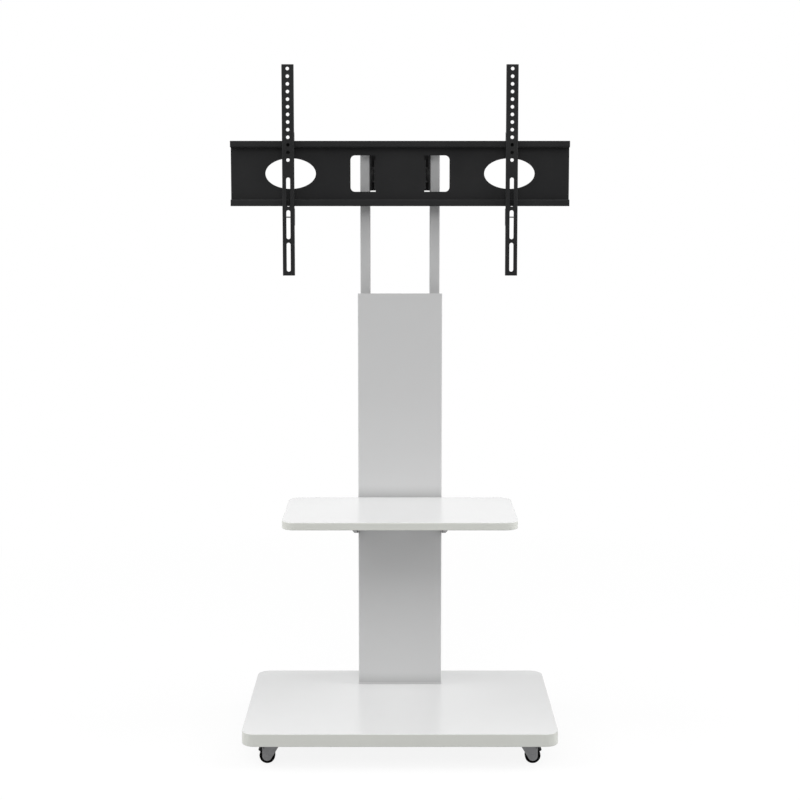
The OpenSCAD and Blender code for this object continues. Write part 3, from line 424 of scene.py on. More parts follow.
def makeMetal(name):                                     # plated or bare steel, smoother where it is brighter
    look = metalLooks[name]
    smooth, rough = look["rough"]
    material, tree, shader = startFinish(name, {"Specular IOR Level": 0.5, "Metallic": look["metallic"]})
    plating = useGroup(tree, platingSpangle, Crystal=1000.0)
    edge = useGroup(tree, softEdge, Radius=0.0003, Breakup=420.0)
    rubbed = tuple(min(0.8, 1.5 * c + 0.03) for c in look["bright"])
    base = mixColours(tree, plating["Tone"], look["dull"], look["bright"])
    worn = mixColours(tree, times(tree, edge["Rub"], 0.5), base, rubbed)
    tree.links.new(worn, shader["Base Color"])
    tree.links.new(rangeNode(tree, plating["Tone"], 0.2, 0.8, rough, smooth), shader["Roughness"])
    tree.links.new(bumpedNormal(tree, plating["Height"], 0.00002, edge["Normal"]), shader["Normal"])
    return material


finishes = {                                             # by material slot, or by kind of part
    "board": makeWhiteLacquer(),
    "column_paint": makeSilverPaint("silverPaint"),
    "tube_paint": makeSilverPaint("silverTubePaint"),
    "shelf_bracket": makeSilverPaint("bracketPaint"),
    "foot": makeSilverPaint("footPlatePaint"),
    "black_paint": makeBlackPowder(),
    "black_plastic": makeMoulded("mouldedBlack"),
    "hub_plastic": makeMoulded("hubNylon"),
    "tyre": makeMoulded("wheelRubber"),
    "friction_washer": makeMoulded("washerNylon"),
    "caster_steel": makeMetal("casterSteel"),
    "zinc": makeMetal("zincPlated"),
    "black_steel": makeMetal("blackOxide"),
}
slotOf = {row["node"]: row["material_slot"] for row in frame["record"]["subparts"]}


def finishOf(name, slotName):
    return finishes.get(name.rsplit("_", 1)[0], finishes[slotName])


for name, part in parts.items():
    if not part.material_slots:
        part.data.materials.append(finishOf(name, slotOf[name]))
    for slot in part.material_slots:
        slot.material = finishOf(name, slotOf[name])
print("stand: finishes on all parts")

mm = 0.001
levelGap = 1e-7                                          # an edge that rises by less lies level
sharpDegrees = 38.0                                      # edges that fold by more stay crisp
corners = {"fl": (-1, -1), "fr": (1, -1), "rl": (-1, 1), "rr": (1, 1)}
caster = {"x": 248.0 * mm, "y": 160.0 * mm, "trail": 5.0 * mm}    # swivel axes from the middle, wheel behind them


# Shaping: every item is built round the Z axis, then set in its places
def ringStack(rings, steps=24, joinEnds=False):          # rings: outline or radius, height and slope of the ring
    bm = bmesh.new()
    bmesh.ops.create_circle(bm, radius=1.0, segments=steps)
    loop, edges = list(bm.verts), list(bm.edges)
    firstEdges = edges
    for index, (outline, height, *slope) in enumerate(rings):
        if index:
            made = bmesh.ops.extrude_edge_only(bm, edges=edges)["geom"]
            loop = [item for item in made if isinstance(item, bmesh.types.BMVert)]
            edges = [item for item in made
                     if isinstance(item, bmesh.types.BMEdge) and all(v in loop for v in item.verts)]
        for vert in loop:
            angle = math.atan2(vert.co.y, vert.co.x)
            radius = outline(angle) if callable(outline) else outline
            drop = (radius - slope[0]) * slope[1] if slope else 0.0
            vert.co = (radius * math.cos(angle), radius * math.sin(angle), height + drop)
    if joinEnds:
        bmesh.ops.bridge_loops(bm, edges=firstEdges + edges)
    else:
        bmesh.ops.holes_fill(bm, edges=bm.edges, sides=0)
    bmesh.ops.recalc_face_normals(bm, faces=bm.faces)
    return bm


def hexOutline(flat):                                    # flat: half the width across the flats
    return lambda angle: flat / math.cos(angle % (math.pi / 3) - math.pi / 6)


def crossOutline(reach, half):                           # a driver's cross, seen along the screw
    def radiusAt(angle):
        off = abs((angle + math.pi / 4) % (math.pi / 2) - math.pi / 4)
        return min(reach, half / max(math.sin(off), 0.001))
    return radiusAt


def stamp(target, item, places):
    mesh = bpy.data.meshes.new("item")
    item.to_mesh(mesh)
    item.free()
    for place in places:
        start = len(target.verts)
        target.from_mesh(mesh)
        target.verts.ensure_lookup_table()
        bmesh.ops.transform(target, matrix=place, verts=target.verts[start:])
    bpy.data.meshes.remove(mesh)


def facing(place, direction=(0, 0, 1)):                  # sets an item at a place, its Z along the direction
    return Matrix.Translation(place) @ Vector(direction).to_track_quat("Z", "Y").to_matrix().to_4x4()


def addPiece(name, bm, part, slotName=None, standsIn=True):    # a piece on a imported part, most often in its place
    body, slotName = bodyOf[part], slotName or slotOf[part]
    nodes = [part] if standsIn else []
    mesh = bpy.data.meshes.new(name)
    bm.to_mesh(mesh)
    bm.free()
    mesh.materials.append(finishOf(part, slotName))
    mesh.shade_smooth()
    mesh.set_sharp_from_angle(angle=math.radians(sharpDegrees))
    piece = bpy.data.objects.new(name, mesh)
    bpy.context.scene.collection.objects.link(piece)
    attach(piece, body)
    if nodes:
        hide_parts(*nodes)


def pick(look, keys):                                    # several sizes of one item
    return [look[key] for key in keys.split()]


def rise(edge):
    return abs(edge.verts[0].co.z - edge.verts[1].co.z)


def roundEdges(bm, edges, offset, segments=2):
    bmesh.ops.bevel(bm, geom=edges, offset=offset, segments=segments, profile=0.5, affect="EDGES", material=-1)


def slab(width, depth, height, corner, edge, segments=4):    # rounded block that stands on Z = 0
    bm = bmesh.new()
    shape = Matrix.Translation((0, 0, height / 2)) @ Matrix.Diagonal((width, depth, height, 1.0))
    bmesh.ops.create_cube(bm, size=1.0, matrix=shape)
    roundEdges(bm, [e for e in bm.edges if rise(e) > height / 2], corner, segments)
    roundEdges(bm, [e for e in bm.edges if rise(e) < levelGap], edge)
    bmesh.ops.recalc_face_normals(bm, faces=bm.faces)
    return bm


def panScrew(look):                                      # cross-recessed pan head below the seat, shank upwards
    head, thick, shank, length = pick(look, "head thick shank length")
    cross = crossOutline(0.52 * head, 0.13 * head)
    deep = crossOutline(0.40 * head, 0.09 * head)
    return ringStack([
        (0.12 * shank, length), (0.72 * shank, length - 1.6 * shank), (shank, length - 2.8 * shank), (shank, 0.0),
        (0.97 * head, 0.0), (head, -0.12 * thick), (head, -0.40 * thick), (0.93 * head, -0.70 * thick),
        (0.80 * head, -0.90 * thick), (0.66 * head, -thick), (cross, -thick), (deep, -0.30 * thick)], 32)


def hexBolt(look):                                       # chamfered hexagon head below the seat, shank upwards
    flat, thick, shank, length = pick(look, "flat headThick shank length")
    return ringStack([
        (0.80 * shank, length), (shank, length - 0.20 * shank), (shank, 0.0), (0.93 * flat, 0.0),
        (0.93 * flat, -0.05 * thick), (hexOutline(flat), -0.05 * thick),
        (hexOutline(flat), -thick, 0.94 * flat, 0.55), (0.94 * flat, -thick), (0.90 * flat, -0.97 * thick)], 24)


def hexNut(look, collar=0.0):                            # nut that stands on its seat, with or without a locking collar
    flat, thick, bore = pick(look, "flat nutThick bore")
    body = thick - collar
    rings = [(bore, 0.0), (0.94 * flat, 0.0), (hexOutline(flat), 0.0, 0.94 * flat, 0.55),
             (hexOutline(flat), body, 0.94 * flat, -0.55), (0.94 * flat, body)]
    if collar:
        rings += [(0.86 * flat, body), (0.86 * flat, thick - 0.3 * collar), (0.78 * flat, thick), (bore, thick)]
    else:
        rings += [(bore + 0.08 * flat, body), (bore, body - 0.08 * flat)]
    return ringStack(rings, 24, True)


def flatWasher(outer, bore, thick):
    soft = 0.25 * thick
    rings = [(bore, 0.0), (outer - soft, 0.0), (outer, soft), (outer, thick - soft),
             (outer - soft, thick), (bore, thick)]
    return ringStack(rings, 32, True)


def threadRidge(radius, pitch, low, high):               # the ridge of a thread, wound along Z
    bm = bmesh.new()
    turns = (high - low) / pitch - 1.0
    root = radius - 0.35 * pitch
    ridge = ((root, 0.05 * pitch), (radius, 0.45 * pitch), (root, 0.85 * pitch))
    profile = [bm.verts.new((r, 0.0, low + z)) for r, z in ridge]
    edges = [bm.edges.new((profile[k], profile[(k + 1) % 3])) for k in range(3)]
    steps = max(8, int(24 * turns))
    bmesh.ops.spin(bm, geom=profile + edges, cent=(0, 0, 0), axis=(0, 0, 1), dvec=(0, 0, turns * pitch / steps),
                   angle=2 * math.pi * turns, steps=steps)
    bmesh.ops.holes_fill(bm, edges=bm.edges, sides=3)
    bmesh.ops.recalc_face_normals(bm, faces=bm.faces)
    return bm


# Bolts that hold the column on the base board
columnBolt = {"flat": 6.5 * mm, "headThick": 5.3 * mm, "shank": 3.85 * mm, "length": 31.1 * mm, "seat": 50.4 * mm,
              "nutThick": 6.5 * mm, "bore": 4.0 * mm, "washer": 9.0 * mm, "washerThick": 1.6 * mm,
              "across": 35.0 * mm, "rows": (127.5 * mm, 167.8 * mm), "footTop": 73.0 * mm}


def makeColumnBolts(look):
    bm = bmesh.new()
    spots = [(side * look["across"], row) for side in (-1, 1) for row in look["rows"]]
    seats = [Matrix.Translation((*spot, look["seat"])) for spot in spots]
    stamp(bm, hexBolt(look), seats)
    stamp(bm, flatWasher(look["washer"], look["bore"], look["washerThick"]), seats)
    stamp(bm, hexNut(look), [Matrix.Translation((*spot, look["footTop"])) for spot in spots])
    addPiece("footBolts", bm, "column_bolts")


# Screws through the cover's rear flanges
coverScrew = {"head": 3.6 * mm, "thick": 1.8 * mm, "shank": 1.75 * mm, "length": 9.0 * mm,
              "across": 75.0 * mm, "back": 189.8 * mm, "heights": (103.0 * mm, 248.0 * mm)}


def makeCoverScrews(look):
    bm = bmesh.new()
    stamp(bm, panScrew(look), [facing((side * look["across"], look["back"], z), (0, -1, 0))
                               for side in (-1, 1) for z in look["heights"]])
    addPiece("coverPanScrews", bm, "cover_screws")


# Height clamps: a nut welded on each guide tube and a black bolt
heightClamp = {"flat": 6.5 * mm, "headThick": 5.0 * mm, "shank": 3.9 * mm, "length": 8.2 * mm,
               "nutThick": 6.0 * mm, "bore": 4.0 * mm, "beadMiddle": 0.9 * mm, "beadTop": 1.4 * mm,
               "across": 70.5 * mm, "tubeBack": 188.0 * mm, "height": 840.5 * mm}


def makeHeightClamps(look):
    bolts, nuts = bmesh.new(), bmesh.new()
    flat, middle, top = pick(look, "flat beadMiddle beadTop")
    bead = [(0.95 * flat, 0.0), (1.20 * flat, 0.0), (1.13 * flat, middle), (0.97 * flat, top)]
    for side in (-1, 1):
        spot = (side * look["across"], look["tubeBack"], look["height"])
        stamp(nuts, hexNut(look), [facing(spot, (0, 1, 0))])
        stamp(nuts, ringStack(bead, 32, True), [facing(spot, (0, 1, 0))])
        stamp(bolts, hexBolt(look), [facing((spot[0], spot[1] + look["nutThick"], spot[2]), (0, -1, 0))])
    addPiece("clampBoltHeads", bolts, "clamp_bolts")
    addPiece("weldedClampNuts", nuts, "clamp_nuts")


# Wood screws of the caster plates and the shelf brackets
casterScrew = {"head": 3.7 * mm, "thick": 2.0 * mm, "shank": 1.85 * mm, "length": 15.0 * mm, "seat": 42.0 * mm,
               "off": 15.5 * mm, "turn": 0.7}
shelfScrew = {"head": 3.7 * mm, "thick": 2.0 * mm, "shank": 1.85 * mm, "length": 12.0 * mm, "seat": 445.0 * mm,
              "across": 92.55 * mm, "back": 105.2 * mm, "reach": 185.0 * mm, "places": (0.12, 0.5, 0.88),
              "firstTurn": 0.5, "turn": 0.9}


def makeWoodScrews():
    look, bm = casterScrew, bmesh.new()
    spots = [(sx * caster["x"] + u * look["off"], sy * caster["y"] + v * look["off"], look["seat"])
             for sx, sy in corners.values() for u in (-1, 1) for v in (-1, 1)]
    turned = [Matrix.Translation(spot) @ Matrix.Rotation(look["turn"] * k, 4, "Z") for k, spot in enumerate(spots)]
    stamp(bm, panScrew(look), turned)
    addPiece("casterPanScrews", bm, "caster_screws")
    look, bm = shelfScrew, bmesh.new()
    spots = [(side * look["across"], look["back"] - share * look["reach"], look["seat"])
             for side in (-1, 1) for share in look["places"]]
    turned = [Matrix.Translation(spot) @ Matrix.Rotation(look["firstTurn"] + look["turn"] * k, 4, "Z")
              for k, spot in enumerate(spots)]
    stamp(bm, panScrew(look), turned)
    addPiece("shelfPanScrews", bm, "shelf_screws")


# Bolts of the shelf's clamp bar, their threaded ends inside the brackets
saddleBolt = {"flat": 5.0 * mm, "headThick": 4.0 * mm, "shank": 2.8 * mm, "length": 10.5 * mm,
              "nutThick": 4.5 * mm, "bore": 3.0 * mm, "thread": 3.0 * mm, "threadFrom": 4.0 * mm, "threadTo": 10.3 * mm,
              "pitch": 1.0 * mm, "across": 93.55 * mm, "barBack": 193.1 * mm, "nutFace": 188.1 * mm,
              "heights": (407.5 * mm, 425.5 * mm)}


def makeSaddleBolts(look):
    bm = bmesh.new()
    for side in (-1, 1):
        for z in look["heights"]:
            x = side * look["across"]
            seat = facing((x, look["barBack"], z), (0, -1, 0))
            ridge = threadRidge(look["thread"], look["pitch"], look["threadFrom"], look["threadTo"])
            stamp(bm, hexBolt(look), [seat])
            stamp(bm, ridge, [seat])
            stamp(bm, hexNut(look), [facing((x, look["nutFace"], z), (0, -1, 0))])
    addPiece("saddleHexBolts", bm, "saddle_bolts")


# Tilt joint: threaded pins, locking nuts with washers, friction washers and the yoke's countersunk screws
tiltPin = {"radius": 4.0 * mm, "inner": 37.8 * mm, "outer": 60.5 * mm, "undercut": 0.1 * mm, "point": 0.6 * mm,
           "pitch": 1.25 * mm, "threadFrom": 0.4 * mm, "threadEnd": 48.5 * mm, "runOut": 0.3 * mm}
tiltNut = {"flat": 6.5 * mm, "nutThick": 6.5 * mm, "bore": 4.03 * mm, "collar": 2.0 * mm, "turned": 0.3,
           "washer": 8.0 * mm, "washerThick": 1.6 * mm, "face": 48.9 * mm}
tiltWasher = {"radius": 15.5 * mm, "bore": 4.06 * mm, "inner": 52.0 * mm, "thick": 6.0 * mm, "rim": 1.2 * mm,
              "groove": 0.5 * mm, "chamfer": 0.4 * mm}
yokeScrew = {"head": 4.85 * mm, "edge": 0.25 * mm, "lip": 0.05 * mm, "sink": 2.4 * mm, "recess": 1.3 * mm,
             "shank": 2.45 * mm, "length": 8.0 * mm, "point": 1.0 * mm, "inside": 58.0 * mm, "back": 163.0 * mm,
             "heights": (1094.25 * mm, 1150.75 * mm)}
tiltAxis = (152.0 * mm, 1116.5 * mm)                     # Y and Z of the axis


def makeTiltPins():
    pins, nuts = bmesh.new(), bmesh.new()
    look, r = tiltPin, tiltPin["radius"]
    end, length, thread = r - look["undercut"], look["outer"] - look["inner"], look["threadEnd"] - look["inner"]
    rings = [(0.75 * end, 0.0), (0.93 * end, look["point"]), (0.93 * end, thread),
             (r, thread + look["runOut"]), (r, length)]
    washer, thick = tiltNut["washer"], tiltNut["washerThick"]
    for side in (-1, 1):
        inner = facing((side * look["inner"], *tiltAxis), (side, 0, 0))
        stamp(pins, ringStack(rings, 32), [inner])
        stamp(pins, threadRidge(r, look["pitch"], look["threadFrom"], thread), [inner])
        face = facing((side * tiltNut["face"], *tiltAxis), (-side, 0, 0))
        seat = face @ Matrix.Translation((0, 0, thick)) @ Matrix.Rotation(tiltNut["turned"] * side, 4, "Z")
        stamp(nuts, flatWasher(washer, tiltNut["bore"], thick), [face])
        stamp(nuts, hexNut(tiltNut, tiltNut["collar"]), [seat])
    addPiece("tiltPins", pins, "pivot_pins")
    addPiece("tiltLockNuts", nuts, "pivot_nuts")


def makeFrictionWashers(look):
    r, t, rim, bore, groove, soft = pick(look, "radius thick rim bore groove chamfer")
    rings = [(bore, soft), (bore + soft, 0.0), (r - rim, 0.0), (r - 0.3 * rim, 0.3 * rim), (r, rim),
             (r, t / 2 - groove), (r - groove, t / 2), (r, t / 2 + groove),
             (r, t - rim), (r - 0.3 * rim, t - 0.3 * rim), (r - rim, t), (bore + soft, t), (bore, t - soft)]
    for side, name in ((-1, "friction_washer_left"), (1, "friction_washer_right")):
        bm = bmesh.new()
        stamp(bm, ringStack(rings, 64, True), [facing((side * look["inner"], *tiltAxis), (side, 0, 0))])
        addPiece("grooved_" + name, bm, name)


def makeYokeScrews(look):
    bm = bmesh.new()
    head, shank, length = pick(look, "head shank length")
    cross, deep = crossOutline(0.50 * head, 0.13 * head), crossOutline(0.36 * head, 0.09 * head)
    rings = [(0.5 * shank, length), (shank, length - look["point"]), (shank, look["sink"]), (head, look["edge"]),
             (head, look["lip"]), (0.62 * head, 0.0), (cross, 0.0), (deep, look["recess"])]
    stamp(bm, ringStack(rings, 32), [facing((side * look["inside"], look["back"], z), (side, 0, 0))
                                     for side in (-1, 1) for z in look["heights"]])
    addPiece("yokeSunkScrews", bm, "yoke_screws")


# Plugs in the upper tubes: a softened rim with a shallow crown
tubeCap = {"width": 20.0 * mm, "depth": 40.0 * mm, "corner": 2.5 * mm, "rim": 2.0 * mm, "rimEdge": 0.45 * mm,
           "crown": 0.5 * mm, "crownInset": 3.0 * mm, "crownEdge": 0.4 * mm,
           "plug": 12.0 * mm, "plugCorner": 1.0 * mm, "plugEdge": 0.3 * mm, "wall": 1.5 * mm,
           "across": 70.5 * mm, "middle": 165.5 * mm, "tubeTop": 1170.5 * mm}


def makeTubeCaps(look):
    for side, name in ((-1, "tube_cap_left"), (1, "tube_cap_right")):
        bm = bmesh.new()
        rim = slab(look["width"], look["depth"], look["rim"] - look["crown"], look["corner"], look["rimEdge"], 6)
        topFace = max(rim.faces, key=lambda face: (face.calc_center_median().z, face.calc_area()))
        inner = bmesh.ops.inset_region(rim, faces=[topFace], thickness=look["crownInset"], depth=look["crown"])["faces"]
        roundEdges(rim, list({e for face in inner for e in face.edges}), look["crownEdge"])
        x, y, top = side * look["across"], look["middle"], look["tubeTop"]
        stamp(bm, rim, [Matrix.Translation((x, y, top))])
        inset = 2 * look["wall"]
        plug = slab(look["width"] - inset, look["depth"] - inset, look["plug"], look["plugCorner"], look["plugEdge"])
        stamp(bm, plug, [Matrix.Translation((x, y, top - look["plug"]))])
        addPiece("crowned_" + name, bm, name)


# Weld seams: guide tubes on the foot plate, tie plates on the tubes, tilt bracket on the mount plate
weld = {                                                 # each seam: its two end points in millimetres
    "radius": 1.3 * mm, "ripple": 1.5 * mm,
    "footSeams": [((side * 58.0, 148.0, 73.0), (side * 58.0, 183.0, 73.0)) for side in (-1, 1)]
    + [((side * 63.0, 143.0, 73.0), (side * 78.0, 143.0, 73.0)) for side in (-1, 1)],
    "tieSeams": [((side * 58.0, 184.5, z), (side * 58.0, 184.5, z + 15.0))
                 for side in (-1, 1) for z in (198.0, 233.0, 698.0, 733.0)],
    "bracketSeams": [((side * 44.0, 129.0, z), (side * 22.0, 129.0, z)) for side in (-1, 1) for z in (1086.5, 1146.5)],
}


def weldSeams(name, seams, part):
    bm = bmesh.new()
    for seam in seams:
        start, end = ([c * mm for c in point] for point in seam)
        along = Vector(end) - Vector(start)
        count = int(along.length / weld["ripple"])
        rings = [(0.55 * weld["radius"], 0.0)]
        for k in range(count):
            rings += [(share * weld["radius"], (k + step) * along.length / count)
                      for share, step in ((1.0, 0.30), (0.84, 0.95))]
        stamp(bm, ringStack(rings, 12), [facing(start, along)])
    addPiece(name, bm, part, standsIn=False)


makeColumnBolts(columnBolt)
makeCoverScrews(coverScrew)
makeHeightClamps(heightClamp)
makeWoodScrews()
makeSaddleBolts(saddleBolt)
makeTiltPins()
makeFrictionWashers(tiltWasher)
makeYokeScrews(yokeScrew)
makeTubeCaps(tubeCap)
weldSeams("guideTubeWelds", weld["footSeams"] + weld["tieSeams"], "guide_tube_left")
weldSeams("tiltBracketWelds", weld["bracketSeams"], "tilt_bracket")
print("stand: screws, bolts, nuts, plugs and welds made")


# Casters: each is built with its swivel axis at X = 0 and the wheel towards +X
wheel = {"radius": 15.0 * mm, "half": 6.5 * mm, "shoulder": 2.2 * mm, "shoulderDegrees": (8, 30, 52, 74),
         "lip": 0.8 * mm, "lipDeep": 0.5 * mm,
         "groove": (11.6 * mm, 11.9 * mm, 12.4 * mm, 12.7 * mm), "grooveDeep": 0.35 * mm,
         "hub": 9.0 * mm, "hubHalf": 5.0 * mm, "boss": 4.5 * mm, "bossHalf": 6.9 * mm, "bore": 2.55 * mm,
         "dish": 1.2 * mm, "rib": 3.0 * mm, "ribThick": 1.0 * mm, "ribDrop": 0.3 * mm, "ribSoft": 0.2 * mm,
         "axle": 2.5 * mm, "axleHead": 4.0 * mm}
fork = {"inside": 7.2 * mm, "outside": 9.2 * mm, "top": 34.0 * mm, "sheet": 2.0 * mm, "cheek": 9.2 * mm,
        "rear": -16.5 * mm, "bar": 0.5 * mm, "crown": 8.0 * mm, "crownLap": 0.6 * mm, "crownCorner": 0.5 * mm,
        "crownEdge": 0.3 * mm, "race": 8.5 * mm, "raceHeight": 3.6 * mm, "cup": 5.0 * mm, "waist": 0.5 * mm,
        "kingBore": 3.05 * mm, "soft": 0.45 * mm, "rimFold": 1.2}
swivel = {"plate": 40.0 * mm, "plateThick": 2.0 * mm, "plateCorner": 4.0 * mm, "plateEdge": 0.35 * mm,
          "boardZ": 44.0 * mm, "raceZ": 38.0 * mm, "race": 8.5 * mm, "play": 0.05 * mm,
          "king": 3.0 * mm, "kingHead": 5.0 * mm, "kingZ": 30.6 * mm, "kingHeadThick": 1.1 * mm}
pedal = {"inner": 15.5 * mm, "thick": 4.0 * mm, "half": 6.9 * mm, "corner": 0.8 * mm,
         "toeDegrees": 34.0, "heelDegrees": 72.0, "steps": 14,
         "toe": 5.0 * mm, "toeThick": 2.0 * mm, "toeCorner": 0.9 * mm, "toeEdge": 0.5 * mm,
         "ridge": 0.9 * mm, "ridgeThick": 0.5 * mm, "ridgeInset": 2.4 * mm, "ridgeSoft": 0.2 * mm,
         "ridgeSink": 0.25 * mm, "ridgeDegrees": (42.0, 48.0, 54.0, 60.0),
         "pinX": 11.5 * mm, "pinZ": 31.8 * mm, "boss": 2.2 * mm, "pin": 1.15 * mm, "pinHalf": 9.2 * mm}


def casterPlace(corner):
    sx, sy = corners[corner]
    turn = Matrix.Rotation(math.pi if sx < 0 else 0.0, 4, "Z")
    return Matrix.Translation((sx * caster["x"], sy * caster["y"], 0)) @ turn


def axlePlace(corner):                                   # Z of the item lies along the axle
    return casterPlace(corner) @ facing((caster["trail"], 0, wheel["radius"]), (0, 1, 0))


def flipped(rings):                                      # the same rings on the other side of the middle
    return [(radius, -height) for radius, height in reversed(rings)]


def quarterTurn(axis):
    return Matrix.Rotation(math.radians(90), 4, axis)


def makeWheel(corner):
    look, place = wheel, axlePlace(corner)
    r, half, hub, soft, deep = pick(look, "radius half hub shoulder grooveDeep")
    sweep = [math.radians(a) for a in look["shoulderDegrees"]]
    shoulder = [(r - soft + soft * math.sin(a), half - soft + soft * math.cos(a)) for a in sweep]
    groove = [(radius, half - drop) for radius, drop in zip(look["groove"], (0.0, deep, deep, 0.0))]
    tread = [(r - 0.05 * mm, 0.45 * half), (r - 0.06 * mm, 0.35 * mm), (r - 0.01 * mm, 0.18 * mm)]
    upper = [(hub, half - look["lipDeep"]), (hub + look["lip"], half)] + groove + shoulder + tread
    bm = bmesh.new()
    stamp(bm, ringStack(upper + flipped(upper), 72, True), [place])
    addPiece("moulded_tyre_" + corner, bm, "tyre_" + corner)

    hubHalf, boss, bossHalf, bore = pick(look, "hubHalf boss bossHalf bore")
    web = hubHalf - look["dish"]
    upper = [(bore, bossHalf - 0.3 * mm), (bore + 0.3 * mm, bossHalf), (boss - 0.4 * mm, bossHalf),
             (boss, bossHalf - 0.4 * mm), (boss + 0.3 * mm, web), (hub - 1.6 * mm, web),
             (hub - 1.2 * mm, hubHalf), (hub - 0.1 * mm, hubHalf)]
    bm = bmesh.new()
    stamp(bm, ringStack(upper + flipped(upper), 60, True), [place])
    ribHalf = hubHalf - look["ribDrop"]
    rib = slab(look["rib"], look["ribThick"], 2 * ribHalf, look["ribSoft"], look["ribSoft"], 2)
    outward = Matrix.Translation((boss + look["rib"] / 2, 0, -ribHalf))
    stamp(bm, rib, [place @ (Matrix.Rotation(k * math.pi / 3, 4, "Z") @ outward) for k in range(6)])
    addPiece("ribbed_hub_" + corner, bm, "wheel_hub_" + corner)

    out, head, stem = fork["outside"], look["axleHead"], look["axle"]
    rivet = [(stem, out), (head, out), (head, out + 0.2 * mm), (0.85 * head, out + 0.75 * mm), (0.66 * head, out + mm),
             (0.55 * head, out + 0.75 * mm), (0.25 * head, out + 0.92 * mm)]
    bm = bmesh.new()
    stamp(bm, ringStack(flipped(rivet) + rivet, 40), [place])
    addPiece("riveted_axle_" + corner, bm, "axle_" + corner, "caster_steel")


def makeCheek(look, side):                               # one side of the fork: a plate hulled round the axle
    cheek = bmesh.new()
    for y in (look["inside"], look["outside"]):
        ring = facing((caster["trail"], side * y, wheel["radius"]), (0, 1, 0))
        bmesh.ops.create_circle(cheek, radius=look["cheek"], segments=48, matrix=ring)
    middle = (look["rear"] + caster["trail"] + look["cheek"]) / 2
    spot = Matrix.Translation((middle, side * (look["inside"] + look["sheet"] / 2), look["top"] - look["bar"]))
    size = Matrix.Diagonal((caster["trail"] + look["cheek"] - look["rear"], look["sheet"], 2 * look["bar"], 1.0))
    bmesh.ops.create_cube(cheek, size=1.0, matrix=spot @ size)
    bmesh.ops.delete(cheek, geom=cheek.edges, context="EDGES_FACES")
    inner = bmesh.ops.convex_hull(cheek, input=cheek.verts)["geom_interior"]
    bmesh.ops.delete(cheek, geom=[item for item in inner if isinstance(item, bmesh.types.BMVert)], context="VERTS")
    bmesh.ops.dissolve_limit(cheek, angle_limit=math.radians(1.0), verts=cheek.verts, edges=cheek.edges)
    rims = [e for e in cheek.edges if len(e.link_faces) == 2 and e.calc_face_angle() > look["rimFold"]]
    roundEdges(cheek, rims, look["soft"])
    bmesh.ops.recalc_face_normals(cheek, faces=cheek.faces)
    return cheek


def makeFork(corner):
    look, bm, place = fork, bmesh.new(), casterPlace(corner)
    for side in (-1, 1):
        stamp(bm, makeCheek(look, side), [place])
    wide = 2 * look["inside"] + look["crownLap"]
    crown = slab(look["crown"] - look["rear"], wide, look["sheet"], look["crownCorner"], look["crownEdge"])
    middle = (look["crown"] + look["rear"]) / 2
    stamp(bm, crown, [place @ Matrix.Translation((middle, 0, look["top"] - look["sheet"]))])
    race, low, high = look["race"], look["top"], look["top"] + look["raceHeight"]
    bore, waist, under = look["kingBore"], race - look["waist"], low - look["sheet"]
    rings = [(bore, under), (look["cup"], under), (race, low), (race, low + 1.2 * mm),
             (waist, low + 1.6 * mm), (waist, low + 2.2 * mm), (race, low + 2.6 * mm),
             (race, high - 0.3 * mm), (race - 0.3 * mm, high), (bore, high)]
    stamp(bm, ringStack(rings, 56, True), [place])
    addPiece("pressed_caster_fork_" + corner, bm, "caster_fork_" + corner)


def makeSwivels():
    look, kings = swivel, bmesh.new()
    race, low, high, king = pick(look, "race raceZ boardZ king")
    bore = king + look["play"]
    cup = [(bore, low), (race - 0.3 * mm, low), (race, low + 0.3 * mm), (race, low + 2.0 * mm),
           (race - 0.4 * mm, low + 2.6 * mm), (race, high - 2.4 * mm), (race, high - 0.2 * mm), (bore, high - 0.2 * mm)]
    head, z, t = pick(look, "kingHead kingZ kingHeadThick")
    rivet = [(0.45 * head, z), (0.8 * head, z + 0.25 * t), (head, z + 0.7 * t), (head, z + t), (king, z + t),
             (king, high - 0.3 * mm)]
    for corner in corners:
        bm, place = bmesh.new(), casterPlace(corner)
        plate = slab(look["plate"], look["plate"], look["plateThick"], look["plateCorner"], look["plateEdge"], 8)
        stamp(bm, plate, [place @ Matrix.Translation((0, 0, high - look["plateThick"]))])
        stamp(bm, ringStack(cup, 56, True), [place])
        addPiece("pressed_caster_plate_" + corner, bm, "caster_plate_" + corner)
        stamp(kings, ringStack(rivet, 40), [place])
    addPiece("swivelRivets", kings, "king_pins")


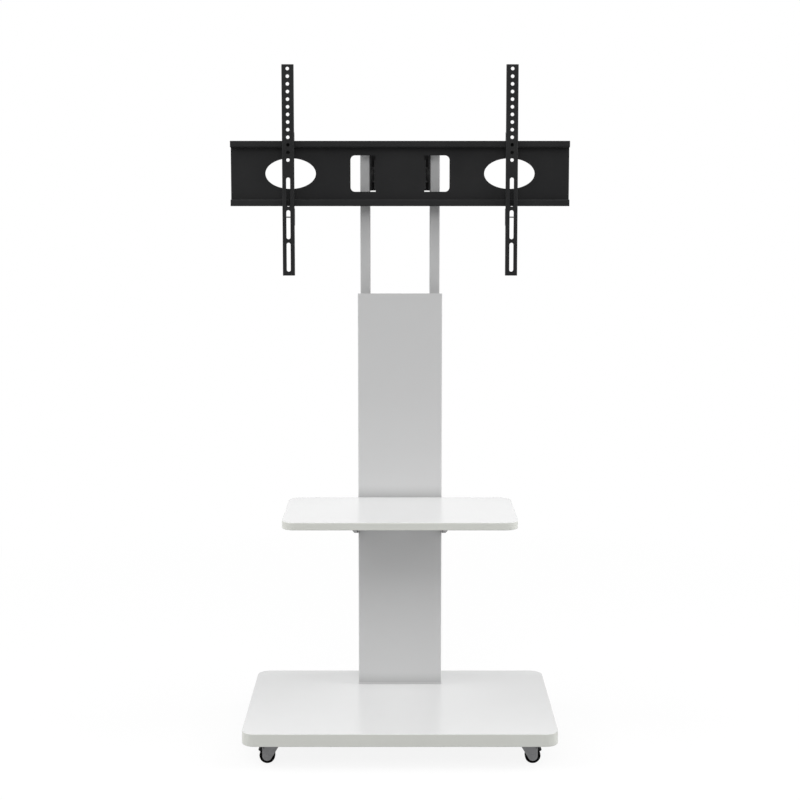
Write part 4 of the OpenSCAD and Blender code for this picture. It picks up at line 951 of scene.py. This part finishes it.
def makePedal(corner):
    look, bm = pedal, bmesh.new()
    toe, heel = math.radians(look["toeDegrees"]), math.radians(look["heelDegrees"])
    inner, thick, half = pick(look, "inner thick half")
    arm = bmesh.new()                                    # a rounded strip, spun round the axle
    strip = Matrix.Translation((inner + thick / 2, 0, 0)) @ Matrix.Diagonal((thick, 2 * half, 1.0, 1.0))
    bmesh.ops.create_grid(arm, x_segments=1, y_segments=1, size=0.5, matrix=strip)
    bmesh.ops.bevel(arm, geom=arm.verts, offset=look["corner"], segments=3, profile=0.5, affect="VERTICES", material=-1)
    face = arm.faces[:]
    for turn, axis in ((math.radians(90), "X"), (toe, "Z")):
        bmesh.ops.rotate(arm, verts=arm.verts, cent=(0, 0, 0), matrix=Matrix.Rotation(turn, 3, axis))
    bmesh.ops.spin(arm, geom=face, cent=(0, 0, 0), axis=(0, 0, 1), angle=heel - toe, steps=look["steps"])
    bmesh.ops.recalc_face_normals(arm, faces=arm.faces)
    place = casterPlace(corner) @ Matrix.Translation((caster["trail"], 0, wheel["radius"])) @ quarterTurn("X")
    stamp(bm, arm, [place])

    soft = look["ridgeSoft"]
    ridge = slab(look["ridge"], 2 * half - look["ridgeInset"], look["ridgeThick"], soft, soft, 2)
    outward = Matrix.Translation((inner + thick - look["ridgeSink"], 0, 0))
    turns = [Matrix.Rotation(math.radians(a), 4, "Z") for a in look["ridgeDegrees"]]
    stamp(bm, ridge, [place @ turn @ outward @ quarterTurn("Y") @ quarterTurn("Z") for turn in turns])

    tab = slab(look["toe"], 2 * half, look["toeThick"], look["toeCorner"], look["toeEdge"])
    outward = Matrix.Translation((inner + look["toe"] / 2, look["toeThick"], 0))
    stamp(bm, tab, [place @ (Matrix.Rotation(toe, 4, "Z") @ outward @ quarterTurn("X"))])

    pin, boss, out, soft = look["pin"], look["boss"], look["pinHalf"], 0.2 * mm
    rings = [(pin, -out), (pin, -half), (boss, -half + soft), (boss, half - soft), (pin, half), (pin, out)]
    stamp(bm, ringStack(rings, 24), [casterPlace(corner) @ facing((look["pinX"], 0, look["pinZ"]), (0, 1, 0))])
    addPiece("moulded_brake_pedal_" + corner, bm, "brake_pedal_" + corner)


for corner in corners:
    makeWheel(corner)
    makeFork(corner)
makeSwivels()
for corner in ("fl", "fr"):
    makePedal(corner)
print("stand: casters made")
